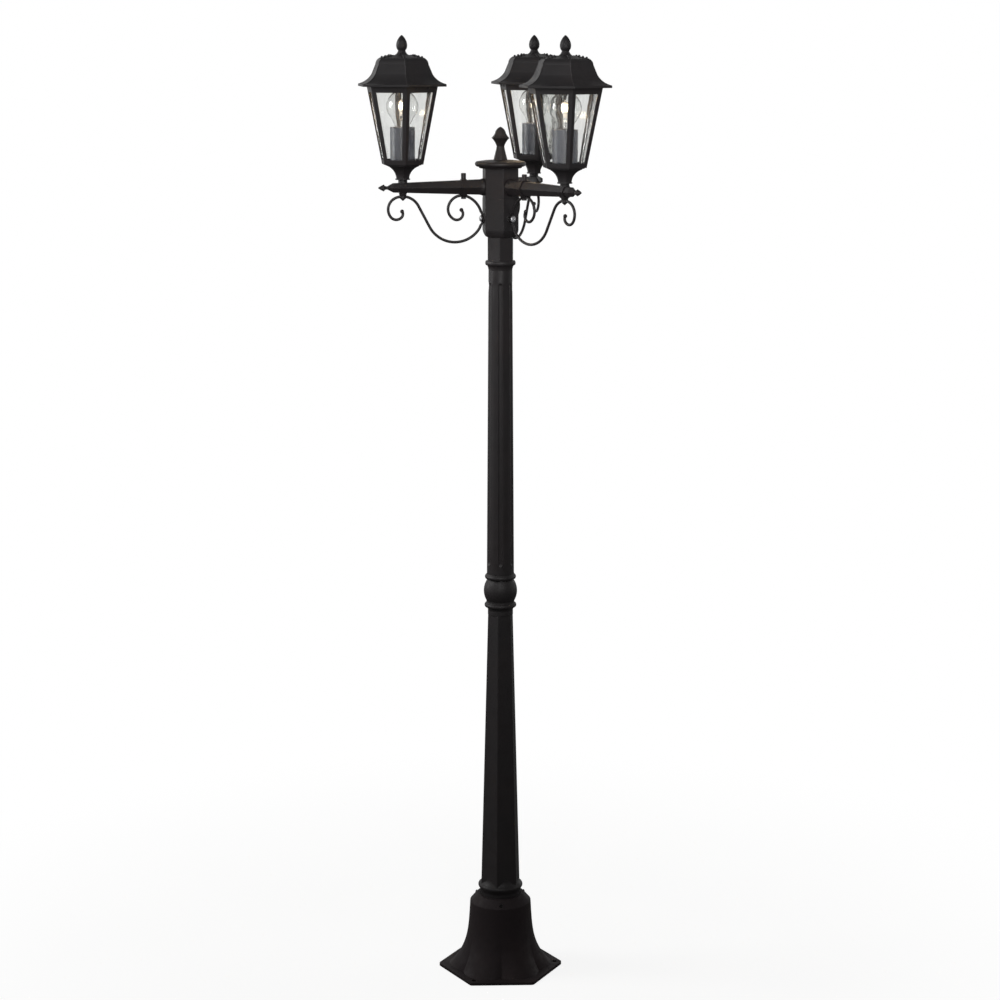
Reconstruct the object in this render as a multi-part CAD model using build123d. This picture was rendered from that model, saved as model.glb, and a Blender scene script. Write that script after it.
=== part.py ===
from build123d import *
import os
from math import asin, atan, cos, radians, sin

# Triple head lamp post. Millimetres, +Z up.
# The origin is on the post's axis at the underside of the base plate.
# Each arm is built along +X and then turned to its own angle.

# ---------------------------------------------------------------- general
arm_angles = (180, 300, 60)     # arms seen from above, counter-clockwise from +X
seat_gap = 0.3                  # between a seated piece and its seat
screw_gap = 0.15                # radial play between a screw and its hole
overcut = 1.0                   # how far a cutter runs past the face it opens

# ---------------------------------------------------------------- base casting
plate_radius = 129.8            # hexagonal foot plate, centre to sharp corner
plate_rounding = 8.0
plate_thick = 6.0
plate_turn = -7.6               # the plate's first corner, seen from above
anchor_circle = 114.6           # anchor holes: radius of their circle
anchor_hole_radius = 5.0
anchor_count = 3
bell_height = 162.0
bell_radius = 63.4              # round bell at its shoulder
bell_lean = 8.0                 # how much the bell's side leans out towards the foot
lobe_flare = 35.5               # extra flare of a lobe at the foot
valley_flare = 19.5             # extra flare of the crease between two lobes
bell_lobes = 6
bell_flare_power = 4            # how late the flare begins on its way down
bell_sections = 8
bell_section_spread = 0.7
shoulder_drop = 16.0            # bell top to where its side meets the sloping shoulder
shoulder_round_radius = 51.5    # where the shoulder turns into the flat top
shoulder_round_drop = 2.5
shoulder_round = 1.5
seam_tuck = 0.05                # inner step that keeps two stacked forms from sharing one face
bell_wall = 5.0
cavity_drop = 24.0              # bell top to the roof of the hollow inside it
socket_depth = 46.0             # how deep the post's foot stands in the bell
socket_wall = 7.5
socket_floor = 4.0
base_screw_radius = 4.0
base_screw_drop = 9.5           # bell top to the screws' axis
base_screw_length = 16.0
base_screw_turn = 30.0          # first screw from the plate's first corner
key_radius = 2.3                # six-sided key recess in a set screw
key_depth = 3.0

# ---------------------------------------------------------------- lower post
foot_radius = 41.7              # round foot that stands in the bell's socket
collar_radius = 46.4            # rounded ring above the bell
collar_rise = 18.5              # ring's widest line above the bell
collar_half = 8.5
collar_edge = 1.1               # how far the ring's bulge stands out
collar_bulge = 0.4              # bulge's share of the ring's height
collar_cove = 3.0               # hollows below and above the ring
shaft_start = 38.0              # above the bell, where the six-sided shaft begins
shaft_low_radius = 43.0         # six-sided shaft, centre to edge
shaft_top_radius = 27.2
shaft_edge_round = 2.5
shaft_turn = 10.7
lower_post_length = 648.0       # from the socket's floor to the knuckle
post_wall = 3.6

# ---------------------------------------------------------------- knuckle between the posts
knuckle_height = 86.0
knuckle_low_ring_rise = 19.9    # rings and ball above the lower post
knuckle_ball_rise = 47.0
knuckle_top_ring_drop = 6.8     # upper ring below the tube's end
knuckle_foot = 2.2              # how far the foot stands out past the shaft's flats
knuckle_low_ring = 32.6
knuckle_ball = 34.0
knuckle_top_ring = 31.8
knuckle_low_neck = 28.6
knuckle_top_neck = 26.4
ring_half = 3.4                 # half the height of a knuckle ring
ring_bulge = 1.2
knuckle_neck_run = 4.0          # plain neck between the low ring and the ball
knuckle_foot_run = 7.0          # plain foot below the low ring
spigot_length = 34.0
cable_bore = 11.0

# ---------------------------------------------------------------- upper post
upper_low_radius = 27.7
upper_top_radius = 23.9
upper_post_length = 620.0
upper_bore = 18.8
flute_count = 6
flute_turn = 20.7
flute_radius = 9.3
flute_depth = 2.0
flute_low_margin = 24.0         # plain tube below the flutes
flute_top_margin = 30.0         # plain tube above the flutes

# ---------------------------------------------------------------- neck casting
neck_height = 66.5
neck_waist = 24.8               # hollow sweep from the tube up to the ring
neck_flare = 27.2
neck_ring_radius = 30.4
neck_ring_height = 8.4
neck_ring_rise = 10.4           # ring's lower edge above the tube
neck_prism_radius = 28.5        # six-sided neck, centre to edge
neck_turn = 17.5
neck_spigot_radius = 20.0
neck_spigot_length = 22.0

# ---------------------------------------------------------------- hub
hub_radius = 38.4               # six-sided hub, centre to edge
hub_foot_radius = 32.0
hub_taper_height = 14.0
hub_taper_bulge = 1.8
hub_lower_height = 76.5
hub_upper_radius = 38.0
hub_upper_height = 59.0
hub_cavity = 26.5
hub_ledge = 3.0
hub_roof = 8.0                  # solid top of the hub, which holds the finial's thread
hub_edge_round = 1.5
arm_rise = 22.0                 # arm axis above the hub's seam
scroll_boss_radius = 10.5       # round boss that a scroll is screwed to
scroll_boss_height = 2.0
scroll_boss_draft = 0.7         # how much the boss tapers
scroll_screw_drop = 40.0        # scroll screw below the hub's seam
cap_radius = 50.5
cap_seat_radius = 41.5
cap_height = 16.0
cap_under = (43.8, 3.2)         # radius, height above the hub: where the rim begins to swell
cap_rim_rise = 8.3              # the rim's widest line
cap_shoulder = (47.6, 12.9)     # where the rim turns into the top
cap_crown = (32.0, 15.0)
hub_finial_height = 64.5
hub_finial_base = 14.8          # six-sided spear, centre to edge, from its foot to its tip
hub_finial_stem = (9.3, 20.0)   # radius, height above the cap
hub_finial_neck = (8.1, 26.5)
hub_finial_throat = (12.0, 34.8)
hub_finial_wide = (19.0, 42.8)
hub_finial_shoulder = (13.9, 48.2)
hub_finial_waist = (11.6, 52.0)
hub_finial_bud = (8.9, 58.3)
finial_point = 0.8              # blunt end of every spear and bud
finial_thread_radius = 4.0
finial_thread_length = 12.0
block_length = 46.0             # terminal block across the hub's ledge
block_width = 16.0
block_height = 13.0
block_ways = 3
block_wire_radius = 2.6
block_screw_radius = 2.2
block_screw_depth = 3.0

# ---------------------------------------------------------------- arms
lantern_reach = 194.8           # lantern axis from the post's axis
arm_root_height = 29.5          # six-sided arm, flat to flat
arm_end_height = 18.0
arm_root = 43.0                 # where the flange ends and the taper begins
arm_end = 214.0
arm_nose_length = 9.5
arm_nose_height = 8.4
flange_radius = 17.0
flange_thick = 2.5
arm_spigot_radius = 9.0
arm_spigot_length = 17.0
arm_bore = 4.6                  # cable way through the arm
tip_peg_radius = 2.2
tip_neck_radius = 3.6
tip_neck_length = 2.0
tip_bud_radius = 6.1
tip_bud_length = 17.0
tip_bud_wide = 0.40             # share of the bud's length where it is widest

# ---------------------------------------------------------------- scroll rods and their clips
scroll_radius = 2.8
scroll_ball = 4.0
scroll_eye_radius = 7.5         # rod hammered flat round the screw
scroll_eye_thick = 3.4
inner_bends = ((47.0, 68.5), (28.0, 95.5), (23.0, 74.5), (12.5, 98.0), (11.0, 68.0))
outer_bends = ((39.7, 39.6), (57.8, 112.4))
outer_straight = 47.2
outer_curl_bends = ((35.5, 85.0), (24.5, 102.0), (14.3, 102.0), (9.5, 76.0))
path_samples = 800              # points read along the rod to find its height at a clip
clip_reach = 74.0               # inner clip from the post's axis
clip_band_width = 10.0
clip_band_thick = 2.0
clip_stud_radius = 5.0
clip_stud_height = 12.0
clip_stud_edge = 1.0
clip_flare_radius = 8.0
clip_flare_share = 0.55         # flare's share of the run below the band
clip_below = 6.6                # shank below the rod's centre line
saddle_band_width = 13.0
saddle_shank_radius = 6.2
saddle_point = 8.4              # pointed end below the rod's centre line
saddle_below = 3.6              # where the point begins
saddle_seat_rise = 0.8          # round seat for the lantern, above the band
scroll_screw_radius = 2.5
screw_head_radius = 6.0
screw_head_height = 3.8
screw_head_edge = 0.8

# ---------------------------------------------------------------- lanterns
funnel_height = 33.4
funnel_neck_radius = 9.0
funnel_neck_height = 3.0
funnel_ring_radius = 14.6
funnel_ring_height = 2.2
funnel_low_radius = 13.9
funnel_sweep = (19.2, 14.0)     # corner radius, depth below the cage: middle of the funnel's curve
funnel_mouth_step = 4.4         # step between the funnel and the cage's edge
funnel_mouth_depth = 3.2
funnel_lip_depth = 1.6
cage_low_radius = 44.2          # six-sided cage, centre to corner
cage_top_radius = 76.4
cage_height = 155.5
cage_wall = 3.0
low_rail = 8.4
top_rail = 15.0
post_low_width = 6.4            # corner post, corner to window
post_top_width = 7.8
pane_thick = 2.0
pane_overlap = 3.0              # how far a pane runs behind the frame
pane_corner = 4.6
base_floor = 3.0                # floor plate standing inside the cage
roof_rim_radius = 94.0          # roof outline: centre to corner, at the eave
roof_rim_thick = 4.0
roof_flare = (76.5, 11.2)       # radius, height above the eave: middle of the hollow sweep
roof_side_low = (64.0, 24.0)
roof_side_top = (55.6, 43.0)
roof_shoulder = (52.4, 50.4)
roof_crown_edge = (46.4, 54.2)
roof_crown = (31.0, 57.6)
roof_top_radius = 21.0
roof_wall = 2.4
roof_height = 60.0              # eave to the finial's seat
roof_seat = 4.6                 # cage top above the eave's lower edge
roof_lip_height = 4.0           # lip that drops inside the cage
roof_lip_thick = 2.0
roof_lip_play = 0.8
roof_finial_height = 38.0
roof_finial_foot = 13.0
roof_finial_ankle = (9.6, 3.4)  # radius, height above the roof
roof_finial_neck = (7.0, 8.6)
bud_low = (10.0, 12.8)
bud_wide = (11.0, 18.6)
bud_high = (8.9, 27.8)
roof_finial_thread = 8.0
rail_screw_radius = 1.6
rail_screw_spacing = 30.0
rail_screw_dome = 1.6           # head's radius over the screw's

# ---------------------------------------------------------------- lamps
sleeve_radius = 24.0
sleeve_wall = 1.8
sleeve_height = 69.0
holder_radius = 19.5
holder_height = 60.0
lamp_cap_radius = 13.2
lamp_cap_height = 26.0
lamp_cap_play = 0.6
lamp_cap_contact = 5.0          # end contact's radius
lamp_cap_taper = (6.5, 2.0)     # radius, height of the insulator over the contact
lamp_cap_shell = 6.0            # where the shell's full radius begins
holder_edge = 1.5
lamp_seat_depth = 28.0          # lamp cap's contact below the holder's mouth
bulb_radius = 31.0
bulb_neck_radius = 13.6
bulb_height = 82.0
bulb_wall = 0.8
bulb_neck_height = 7.0
bulb_join_angle = -38           # where the ball meets the neck's curve, from the ball's middle
bulb_neck_hollow = (1.4, 1.0)   # how far the neck's curve is pulled in and up
burner_radius = 5.2
burner_length = 24.0
burner_low = 40.0               # burner above the lamp cap
pinch_width = 8.8               # flat end of the capsule, below it
pinch_thick = 2.6
pinch_height = 8.0
pinch_drop = 3.5
lead_radius = 0.8
lead_spacing = 6.0

# ---------------------------------------------------------------- heights worked out from the stack
shoulder_height = bell_height - shoulder_drop
socket_floor_z = bell_height - socket_depth
lower_post_top = socket_floor_z + lower_post_length
knuckle_top = lower_post_top + knuckle_height
upper_post_top = knuckle_top + upper_post_length
neck_top = upper_post_top + neck_height
hub_seam = neck_top + hub_lower_height
hub_top = hub_seam + hub_upper_height
arm_height = hub_seam + arm_rise
scroll_screw_z = hub_seam - scroll_screw_drop
base_screw_z = bell_height - base_screw_drop

nodes = {}


def to_flat(corner_radius):
    # centre-to-flat distance of a hexagon, from its centre-to-corner radius
    return corner_radius * cos(radians(30))


def polar(radius, angle, height=0.0):
    return (radius * cos(radians(angle)), radius * sin(radians(angle)), height)


def outline(start, *steps):
    # closed face: a step is a point (straight run) or a pair (arc through the first, to the second)
    edges = []
    here = start
    for step in steps:
        if isinstance(step[0], tuple):
            edges.append(ThreePointArc(here, step[0], step[1]))
            here = step[1]
        else:
            edges.append(Line(here, step))
            here = step
    edges.append(Line(here, start))
    return make_face(edges)


def dome(radius, low, height):
    # an outline's last step: a round cap from its rim at the given radius to its top on the axis
    ball = (radius**2 + height**2) / (2 * height)
    half = asin(radius / ball) / 2
    return ((ball * sin(half), low + height - ball + ball * cos(half)), (0, low + height))


def turned(face):
    # a body of revolution from a face in (radius, height)
    return revolve(Plane.XZ * face, Axis.Z)


def six_sided(face):
    # a hexagonal body whose flats follow a face in (centre-to-flat, height); flats at 0, 60, 120 degrees
    reach = 2 * face.bounding_box().max.X
    half = extrude(Plane.XZ * face, reach, both=True)
    slab = half + mirror(half, Plane.YZ)
    return slab & (Rot(0, 0, 60) * slab) & (Rot(0, 0, 120) * slab)


def column(radius, low, high):
    return Pos(0, 0, low) * Cylinder(radius, high - low, align=(Align.CENTER, Align.CENTER, Align.MIN))


def along_x(body, height):
    # lays a body built up +Z along +X at the given height
    return Pos(0, 0, height) * Rot(0, 90, 0) * body


def rod(start, end, radius):
    run = Vector(*end) - Vector(*start)
    return extrude(Plane(origin=start, z_dir=run) * Circle(radius), run.length)


def group(solids):
    return Compound(children=list(solids))


def on_arms(name, body):
    for number, angle in enumerate(arm_angles, start=1):
        nodes[f"{name}_{number}"] = Rot(0, 0, angle) * body


def on_lanterns(name, body):
    on_arms(name, Pos(lantern_reach, 0, 0) * body)


# ---------------------------------------------------------------- base casting
def bell_section(height, inset):
    drop = (shoulder_height - height) / (shoulder_height - plate_thick)
    flare = drop**bell_flare_power
    side = bell_radius + bell_lean * drop - inset
    lobe = side + lobe_flare * flare
    valley = side + valley_flare * flare
    pitch = 360 / bell_lobes
    arcs = []
    for number in range(bell_lobes):
        middle = plate_turn + number * pitch
        arcs.append(
            ThreePointArc(
                polar(valley, middle - pitch / 2, height),
                polar(lobe, middle, height),
                polar(valley, middle + pitch / 2, height),
            )
        )
    return Wire(arcs)


def lobed_bell(low, high, inset):
    # sections lie closer together towards the foot, where the flare is
    shares = [(step / (bell_sections - 1)) ** bell_section_spread for step in range(bell_sections)]
    return Solid.make_loft([bell_section(high + (low - high) * share, inset) for share in shares])


def base_screw_angles():
    return [plate_turn + base_screw_turn + 120 * number for number in range(3)]


def base_casting():
    plate = extrude(RegularPolygon(plate_radius, 6, rotation=plate_turn), plate_thick)
    plate = fillet(plate.edges().filter_by(Axis.Z), plate_rounding)
    socket_radius = foot_radius + seat_gap
    round_z = bell_height - shoulder_round_drop
    shoulder = turned(
        outline(
            (0, shoulder_height - overcut),
            (bell_radius - seam_tuck, shoulder_height - overcut),
            (bell_radius, shoulder_height),
            (shoulder_round_radius + shoulder_round, round_z - shoulder_round),
            ((shoulder_round_radius, round_z), (shoulder_round_radius - 2 * shoulder_round, bell_height)),
            (0, bell_height),
        )
    )
    body = plate + lobed_bell(plate_thick - overcut, shoulder_height, 0) + shoulder
    body -= lobed_bell(-overcut, bell_height - cavity_drop, bell_wall)
    body += column(socket_radius + socket_wall, socket_floor_z - socket_floor, bell_height - overcut)
    body -= column(socket_radius, socket_floor_z, bell_height + overcut)
    body -= column(foot_bore(), socket_floor_z - socket_floor - overcut, bell_height)
    for number in range(anchor_count):
        place = polar(anchor_circle, plate_turn + 360 / anchor_count * number)
        body -= Pos(*place) * column(anchor_hole_radius, -overcut, plate_thick + overcut)
    for angle in base_screw_angles():
        hole = along_x(column(base_screw_radius + screw_gap, 0, bell_radius + overcut), base_screw_z)
        body -= Rot(0, 0, angle) * (hole - column(foot_radius - overcut, 0, bell_height))
    return body


def base_set_screws():
    screw = column(base_screw_radius, 0, base_screw_length)
    screw -= Pos(0, 0, base_screw_length - key_depth) * extrude(RegularPolygon(key_radius, 6), key_depth)
    screw = Pos(foot_radius + seat_gap, 0, 0) * along_x(screw, base_screw_z)
    return group(Rot(0, 0, angle) * screw for angle in base_screw_angles())


# ---------------------------------------------------------------- posts
def foot_bore():
    return to_flat(shaft_low_radius) - post_wall


def shaft_bore():
    return to_flat(shaft_top_radius) - post_wall


def lower_post():
    collar_z = bell_height + collar_rise
    collar_low = collar_z - collar_half
    bulge_radius = collar_radius - collar_edge
    bulge_half = collar_bulge * collar_half
    shaft_z = bell_height + shaft_start
    cove_z = collar_z + collar_half
    foot = turned(
        outline(
            (0, socket_floor_z),
            (foot_radius, socket_floor_z),
            (foot_radius, collar_low - collar_cove),
            ((foot_radius + collar_edge, collar_low), (bulge_radius, collar_z - bulge_half)),
            ((collar_radius, collar_z), (bulge_radius, collar_z + bulge_half)),
            ((to_flat(shaft_low_radius) + collar_cove, cove_z), (to_flat(shaft_low_radius), shaft_z)),
            (0, shaft_z),
        )
    )
    low = Pos(0, 0, collar_z) * RegularPolygon(shaft_low_radius, 6, rotation=shaft_turn)
    top = Pos(0, 0, lower_post_top) * RegularPolygon(shaft_top_radius, 6, rotation=shaft_turn)
    shaft = loft([low, top], ruled=True)
    corners = [edge for edge in shaft.edges() if edge.length > lower_post_length / 2]
    shaft = fillet(corners, shaft_edge_round)
    bore = Pos(0, 0, (socket_floor_z + lower_post_top) / 2) * Cone(
        foot_bore(), shaft_bore(), lower_post_top - socket_floor_z
    )
    return foot + shaft - bore


def ring_steps(radius, middle, half):
    # a bulging ring in an outline: from its lower corner over its widest line to its upper corner
    edge = radius - ring_bulge
    return (edge, middle - half), ((radius, middle), (edge, middle + half))


def post_knuckle():
    low_ring = lower_post_top + knuckle_low_ring_rise
    ball = lower_post_top + knuckle_ball_rise
    top_ring = knuckle_top - knuckle_top_ring_drop
    foot = to_flat(shaft_top_radius) + knuckle_foot
    spigot_low = shaft_bore() - seat_gap
    spigot_top = upper_bore - seat_gap
    low_corner, low_over = ring_steps(knuckle_low_ring, low_ring, ring_half)
    top_corner, top_over = ring_steps(knuckle_top_ring, top_ring, ring_half)
    neck_low = low_ring + ring_half + knuckle_neck_run / 2
    neck_high = neck_low + knuckle_neck_run
    step_z = top_ring - ring_half - knuckle_neck_run / 2
    return turned(
        outline(
            (cable_bore, lower_post_top - spigot_length),
            (spigot_low, lower_post_top - spigot_length),
            (spigot_low, lower_post_top),
            (foot, lower_post_top),
            (foot, lower_post_top + knuckle_foot_run),
            ((foot + ring_bulge, low_ring - 2 * ring_half), low_corner),
            low_over,
            (knuckle_low_neck, neck_low),
            (knuckle_low_neck, neck_high),
            ((knuckle_ball, ball), (knuckle_top_neck, step_z)),
            top_corner,
            top_over,
            (upper_low_radius, knuckle_top),
            (spigot_top, knuckle_top),
            (spigot_top, knuckle_top + spigot_length),
            (cable_bore, knuckle_top + spigot_length),
        )
    )


def upper_radius(height):
    share = (height - knuckle_top) / upper_post_length
    return upper_low_radius + (upper_top_radius - upper_low_radius) * share


def upper_post():
    tube = turned(
        outline(
            (upper_bore, knuckle_top),
            (upper_low_radius, knuckle_top),
            (upper_top_radius, upper_post_top),
            (upper_bore, upper_post_top),
        )
    )
    low = knuckle_top + flute_low_margin
    high = upper_post_top - flute_top_margin
    stand_off = flute_radius - flute_depth
    foot = (upper_radius(low) + stand_off, 0, low)
    head = (upper_radius(high) + stand_off, 0, high)
    flute = rod(foot, head, flute_radius)
    flute += Pos(*foot) * Sphere(flute_radius)
    flute += Pos(*head) * Sphere(flute_radius)
    for number in range(flute_count):
        tube -= Rot(0, 0, flute_turn + 360 / flute_count * number) * flute
    return tube


def neck_casting():
    ring_low = upper_post_top + neck_ring_rise
    ring_top = ring_low + neck_ring_height
    body = turned(
        outline(
            (0, upper_post_top - spigot_length),
            (upper_bore - seat_gap, upper_post_top - spigot_length),
            (upper_bore - seat_gap, upper_post_top),
            (upper_top_radius, upper_post_top),
            ((neck_waist, upper_post_top + neck_ring_rise / 2), (neck_flare, ring_low)),
            (neck_ring_radius - ring_bulge, ring_low),
            ((neck_ring_radius, (ring_low + ring_top) / 2), (neck_ring_radius - ring_bulge, ring_top)),
            (0, ring_top),
        )
    )
    prism = extrude(RegularPolygon(neck_prism_radius, 6, rotation=neck_turn), neck_top - ring_top)
    body += Pos(0, 0, ring_top) * fillet(prism.edges().filter_by(Axis.Z), shaft_edge_round)
    body += column(neck_spigot_radius, neck_top, neck_top + neck_spigot_length)
    return body - column(cable_bore, upper_post_top - spigot_length, neck_top + neck_spigot_length)


# ---------------------------------------------------------------- hub
def hub_lower():
    taper_z = neck_top + hub_taper_height
    bulge = (to_flat(hub_radius) - hub_taper_bulge, neck_top + hub_taper_height / 2)
    body = six_sided(
        outline(
            (0, neck_top),
            (to_flat(hub_foot_radius), neck_top),
            (bulge, (to_flat(hub_radius), taper_z)),
            (to_flat(hub_radius), hub_seam),
            (0, hub_seam),
        )
    )
    boss_foot = scroll_boss_radius + scroll_boss_draft
    boss_top = scroll_boss_radius - scroll_boss_draft
    boss = Cone(boss_foot, boss_top, scroll_boss_height + overcut)
    boss_middle = to_flat(hub_radius) + (scroll_boss_height - overcut) / 2
    spigot_hole = neck_spigot_radius + seat_gap
    ledge_z = neck_top + neck_spigot_length + hub_ledge
    for angle in arm_angles:
        body += Rot(0, 0, angle) * along_x(Pos(0, 0, boss_middle) * boss, scroll_screw_z)
    body -= column(spigot_hole, neck_top - overcut, neck_top + neck_spigot_length + seat_gap)
    body -= column(neck_spigot_radius - hub_ledge, neck_top, ledge_z + overcut)
    body -= column(hub_cavity, ledge_z, hub_seam + overcut)
    hole = column(scroll_screw_radius + screw_gap, 0, hub_radius + scroll_boss_height)
    for angle in arm_angles:
        body -= Rot(0, 0, angle) * along_x(hole, scroll_screw_z)
    return body


def hub_upper():
    body = extrude(RegularPolygon(hub_upper_radius, 6, rotation=30), hub_upper_height)
    body = Pos(0, 0, hub_seam) * fillet(body.edges().filter_by(Axis.Z), hub_edge_round)
    body -= column(hub_cavity - hub_ledge, hub_seam - overcut, hub_top - hub_roof)
    body -= column(finial_thread_radius + screw_gap, hub_seam, hub_top + overcut)
    for angle in arm_angles:
        socket = along_x(column(arm_spigot_radius + seat_gap, 0, hub_radius), arm_height)
        body -= Rot(0, 0, angle) * socket
    return body


def above(base, *points):
    # lifts (radius, height) points given above a seat to the height of the seat
    return [(radius, base + height) for radius, height in points]


def flats(points):
    # turns centre-to-corner radii of an outline's points into centre-to-flat ones
    return [(to_flat(radius), height) for radius, height in points]


def hub_cap():
    under, shoulder, crown = above(hub_top, cap_under, cap_shoulder, cap_crown)
    top = hub_top + cap_height
    body = turned(
        outline(
            (0, hub_top),
            (cap_seat_radius, hub_top),
            under,
            ((cap_radius, hub_top + cap_rim_rise), shoulder),
            crown,
            (hub_finial_base, top),
            (0, top),
        )
    )
    return body - column(finial_thread_radius + screw_gap, hub_top - overcut, top + overcut)


def hub_finial():
    low = hub_top + cap_height
    high = low + hub_finial_height
    points = above(low, hub_finial_stem, hub_finial_neck, hub_finial_throat, hub_finial_wide)
    stem, neck, throat, wide = flats(points)
    points = above(low, hub_finial_shoulder, hub_finial_waist, hub_finial_bud)
    shoulder, waist, bud = flats(points)
    body = six_sided(
        outline(
            (0, low),
            (to_flat(hub_finial_base), low),
            stem,
            neck,
            (throat, wide),
            (shoulder, waist),
            (bud, (finial_point, high)),
            (0, high),
        )
    )
    return body + column(finial_thread_radius, hub_top - finial_thread_length, low)


def terminal_block():
    low = neck_top + neck_spigot_length + hub_ledge + seat_gap
    middle = low + block_height / 2
    top = low + block_height
    block = Pos(0, 0, middle) * Box(block_width, block_length, block_height)
    wire_way = Rot(0, 90, 0) * Cylinder(block_wire_radius, block_width + overcut)
    screw_way = column(block_screw_radius, top - block_screw_depth, top + overcut)
    pitch = block_length / block_ways
    for number in range(block_ways):
        place = (number - (block_ways - 1) / 2) * pitch
        block -= Pos(0, place, middle) * wire_way
        block -= Pos(0, place, 0) * screw_way
    return block


# ---------------------------------------------------------------- arms
def arm_flat_height(reach):
    # the arm's height, flat to flat, at a distance from the post's axis
    share = (reach - arm_root) / (arm_end - arm_root)
    return arm_root_height + (arm_end_height - arm_root_height) * share


def arm_section(reach, height):
    # the hexagon has an edge at each side and flats above and below
    place = Plane(origin=(reach, 0, arm_height), x_dir=(0, 1, 0), z_dir=(1, 0, 0))
    return place * RegularPolygon(height / 2 / cos(radians(30)), 6)


def arm():
    face_reach = to_flat(hub_upper_radius) + seat_gap
    flange = turned(
        outline(
            (0, face_reach),
            (flange_radius, face_reach),
            (flange_radius, face_reach + flange_thick),
            (arm_root_height / 2, arm_root),
            (0, arm_root),
        )
    )
    nose = arm_end + arm_nose_length
    body = along_x(flange, arm_height)
    body += loft([arm_section(face_reach, arm_flat_height(face_reach)), arm_section(arm_end, arm_end_height)])
    body += loft([arm_section(arm_end, arm_end_height), arm_section(nose, arm_nose_height)])
    body += along_x(column(arm_spigot_radius, face_reach - arm_spigot_length, face_reach), arm_height)
    body -= along_x(column(arm_bore, 0, lantern_reach), arm_height)
    body -= Pos(lantern_reach, 0, arm_height) * column(arm_bore, 0, arm_root_height)
    return body - along_x(column(tip_peg_radius + screw_gap, arm_end, nose + overcut), arm_height)


def arm_tip():
    nose = arm_end + arm_nose_length
    bud = nose + tip_neck_length
    wide = bud + tip_bud_length * tip_bud_wide
    body = turned(
        outline(
            (0, arm_end + overcut),
            (tip_peg_radius, arm_end + overcut),
            (tip_peg_radius, nose + seat_gap),
            (tip_neck_radius, nose + seat_gap),
            (tip_neck_radius, bud),
            ((tip_bud_radius, wide), (finial_point, bud + tip_bud_length)),
            (0, bud + tip_bud_length),
        )
    )
    return along_x(body, arm_height)


# ---------------------------------------------------------------- scrolls and clips
def scroll_start():
    return to_flat(hub_radius) + scroll_boss_height + seat_gap + scroll_eye_thick / 2


def bend_chain(start, heading, bends):
    # arcs laid end to end, each tangent to the one before
    # a bend is (radius, signed angle), a straight run is (0, length)
    edges = []
    here = start
    for radius, amount in bends:
        if radius == 0:
            edge = Line(here, here + heading * amount)
        else:
            edge = JernArc(here, heading, radius, amount)
        edges.append(edge)
        here = edge @ 1
        heading = edge % 1
    return edges


def scroll_path():
    start = Vector(scroll_start(), scroll_screw_z)
    inner = bend_chain(start, Vector(0, 1), [(radius, -turn) for radius, turn in inner_bends])
    outer_list = list(outer_bends) + [(0, outer_straight)]
    outer_list += [(radius, -turn) for radius, turn in outer_curl_bends]
    outer = bend_chain(start, Vector(0, -1), outer_list)
    return Plane.XZ * Wire(inner + outer)


def swept_rod(radius):
    path = scroll_path()
    return sweep(Plane(origin=path @ 0, z_dir=path % 0) * Circle(radius), path=path)


def rod_height(reach):
    # height of the rod's centre line where it passes under the arm at a clip
    path = scroll_path()
    points = [path @ (step / path_samples) for step in range(path_samples + 1)]
    return max(point.Z for point in points if abs(point.X - reach) < 1)


def scroll_rod():
    path = scroll_path()
    body = swept_rod(scroll_radius)
    for end in (path @ 0, path @ 1):
        body += Pos(*end) * Sphere(scroll_ball)
    flat = 2 * scroll_boss_radius + overcut
    for side in (-1, 1):
        reach = scroll_start() + side * (scroll_eye_thick + flat) / 2
        body -= Pos(reach, 0, scroll_screw_z) * Box(flat, flat, flat)
    eye_half = scroll_eye_thick / 2
    eye = column(scroll_eye_radius, scroll_start() - eye_half, scroll_start() + eye_half)
    body += along_x(eye, scroll_screw_z)
    hole = column(scroll_screw_radius + screw_gap, 0, scroll_start() + scroll_eye_thick)
    return body - along_x(hole, scroll_screw_z)


def clip_body(reach, band_width, shank_radius, shank_low):
    # band round the arm, with a flare and a shank below it that the rod runs through
    low_x = reach - band_width / 2
    high_x = reach + band_width / 2
    band = loft(
        [
            arm_section(low_x, arm_flat_height(low_x) + 2 * clip_band_thick),
            arm_section(high_x, arm_flat_height(high_x) + 2 * clip_band_thick),
        ]
    )
    underside = arm_height - arm_flat_height(reach) / 2 - clip_band_thick / 2
    flare_run = clip_flare_share * (underside - shank_low)
    flare = Pos(reach, 0, underside - flare_run / 2) * Cone(shank_radius, clip_flare_radius, flare_run)
    shank = Pos(reach, 0, 0) * column(shank_radius, shank_low, underside)
    return band + flare + shank - swept_rod(scroll_radius + seat_gap)


def arm_core(reach, band_width):
    # the space that the arm fills inside a band
    low_x = reach - band_width - overcut
    high_x = reach + band_width + overcut
    return loft(
        [
            arm_section(low_x, arm_flat_height(low_x) + 2 * seat_gap),
            arm_section(high_x, arm_flat_height(high_x) + 2 * seat_gap),
        ]
    )


def scroll_clip():
    rod_z = rod_height(clip_reach)
    body = clip_body(clip_reach, clip_band_width, clip_stud_radius, rod_z - clip_below)
    arm_top = arm_height + arm_flat_height(clip_reach) / 2
    stud_top = arm_top + clip_band_thick + clip_stud_height
    stud = Pos(clip_reach, 0, 0) * column(clip_stud_radius, arm_top, stud_top)
    stud = chamfer(stud.edges().group_by(Axis.Z)[-1], clip_stud_edge)
    return body + stud - arm_core(clip_reach, clip_band_width)


def saddle_top():
    return arm_height + arm_flat_height(lantern_reach) / 2 + clip_band_thick + saddle_seat_rise


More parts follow.
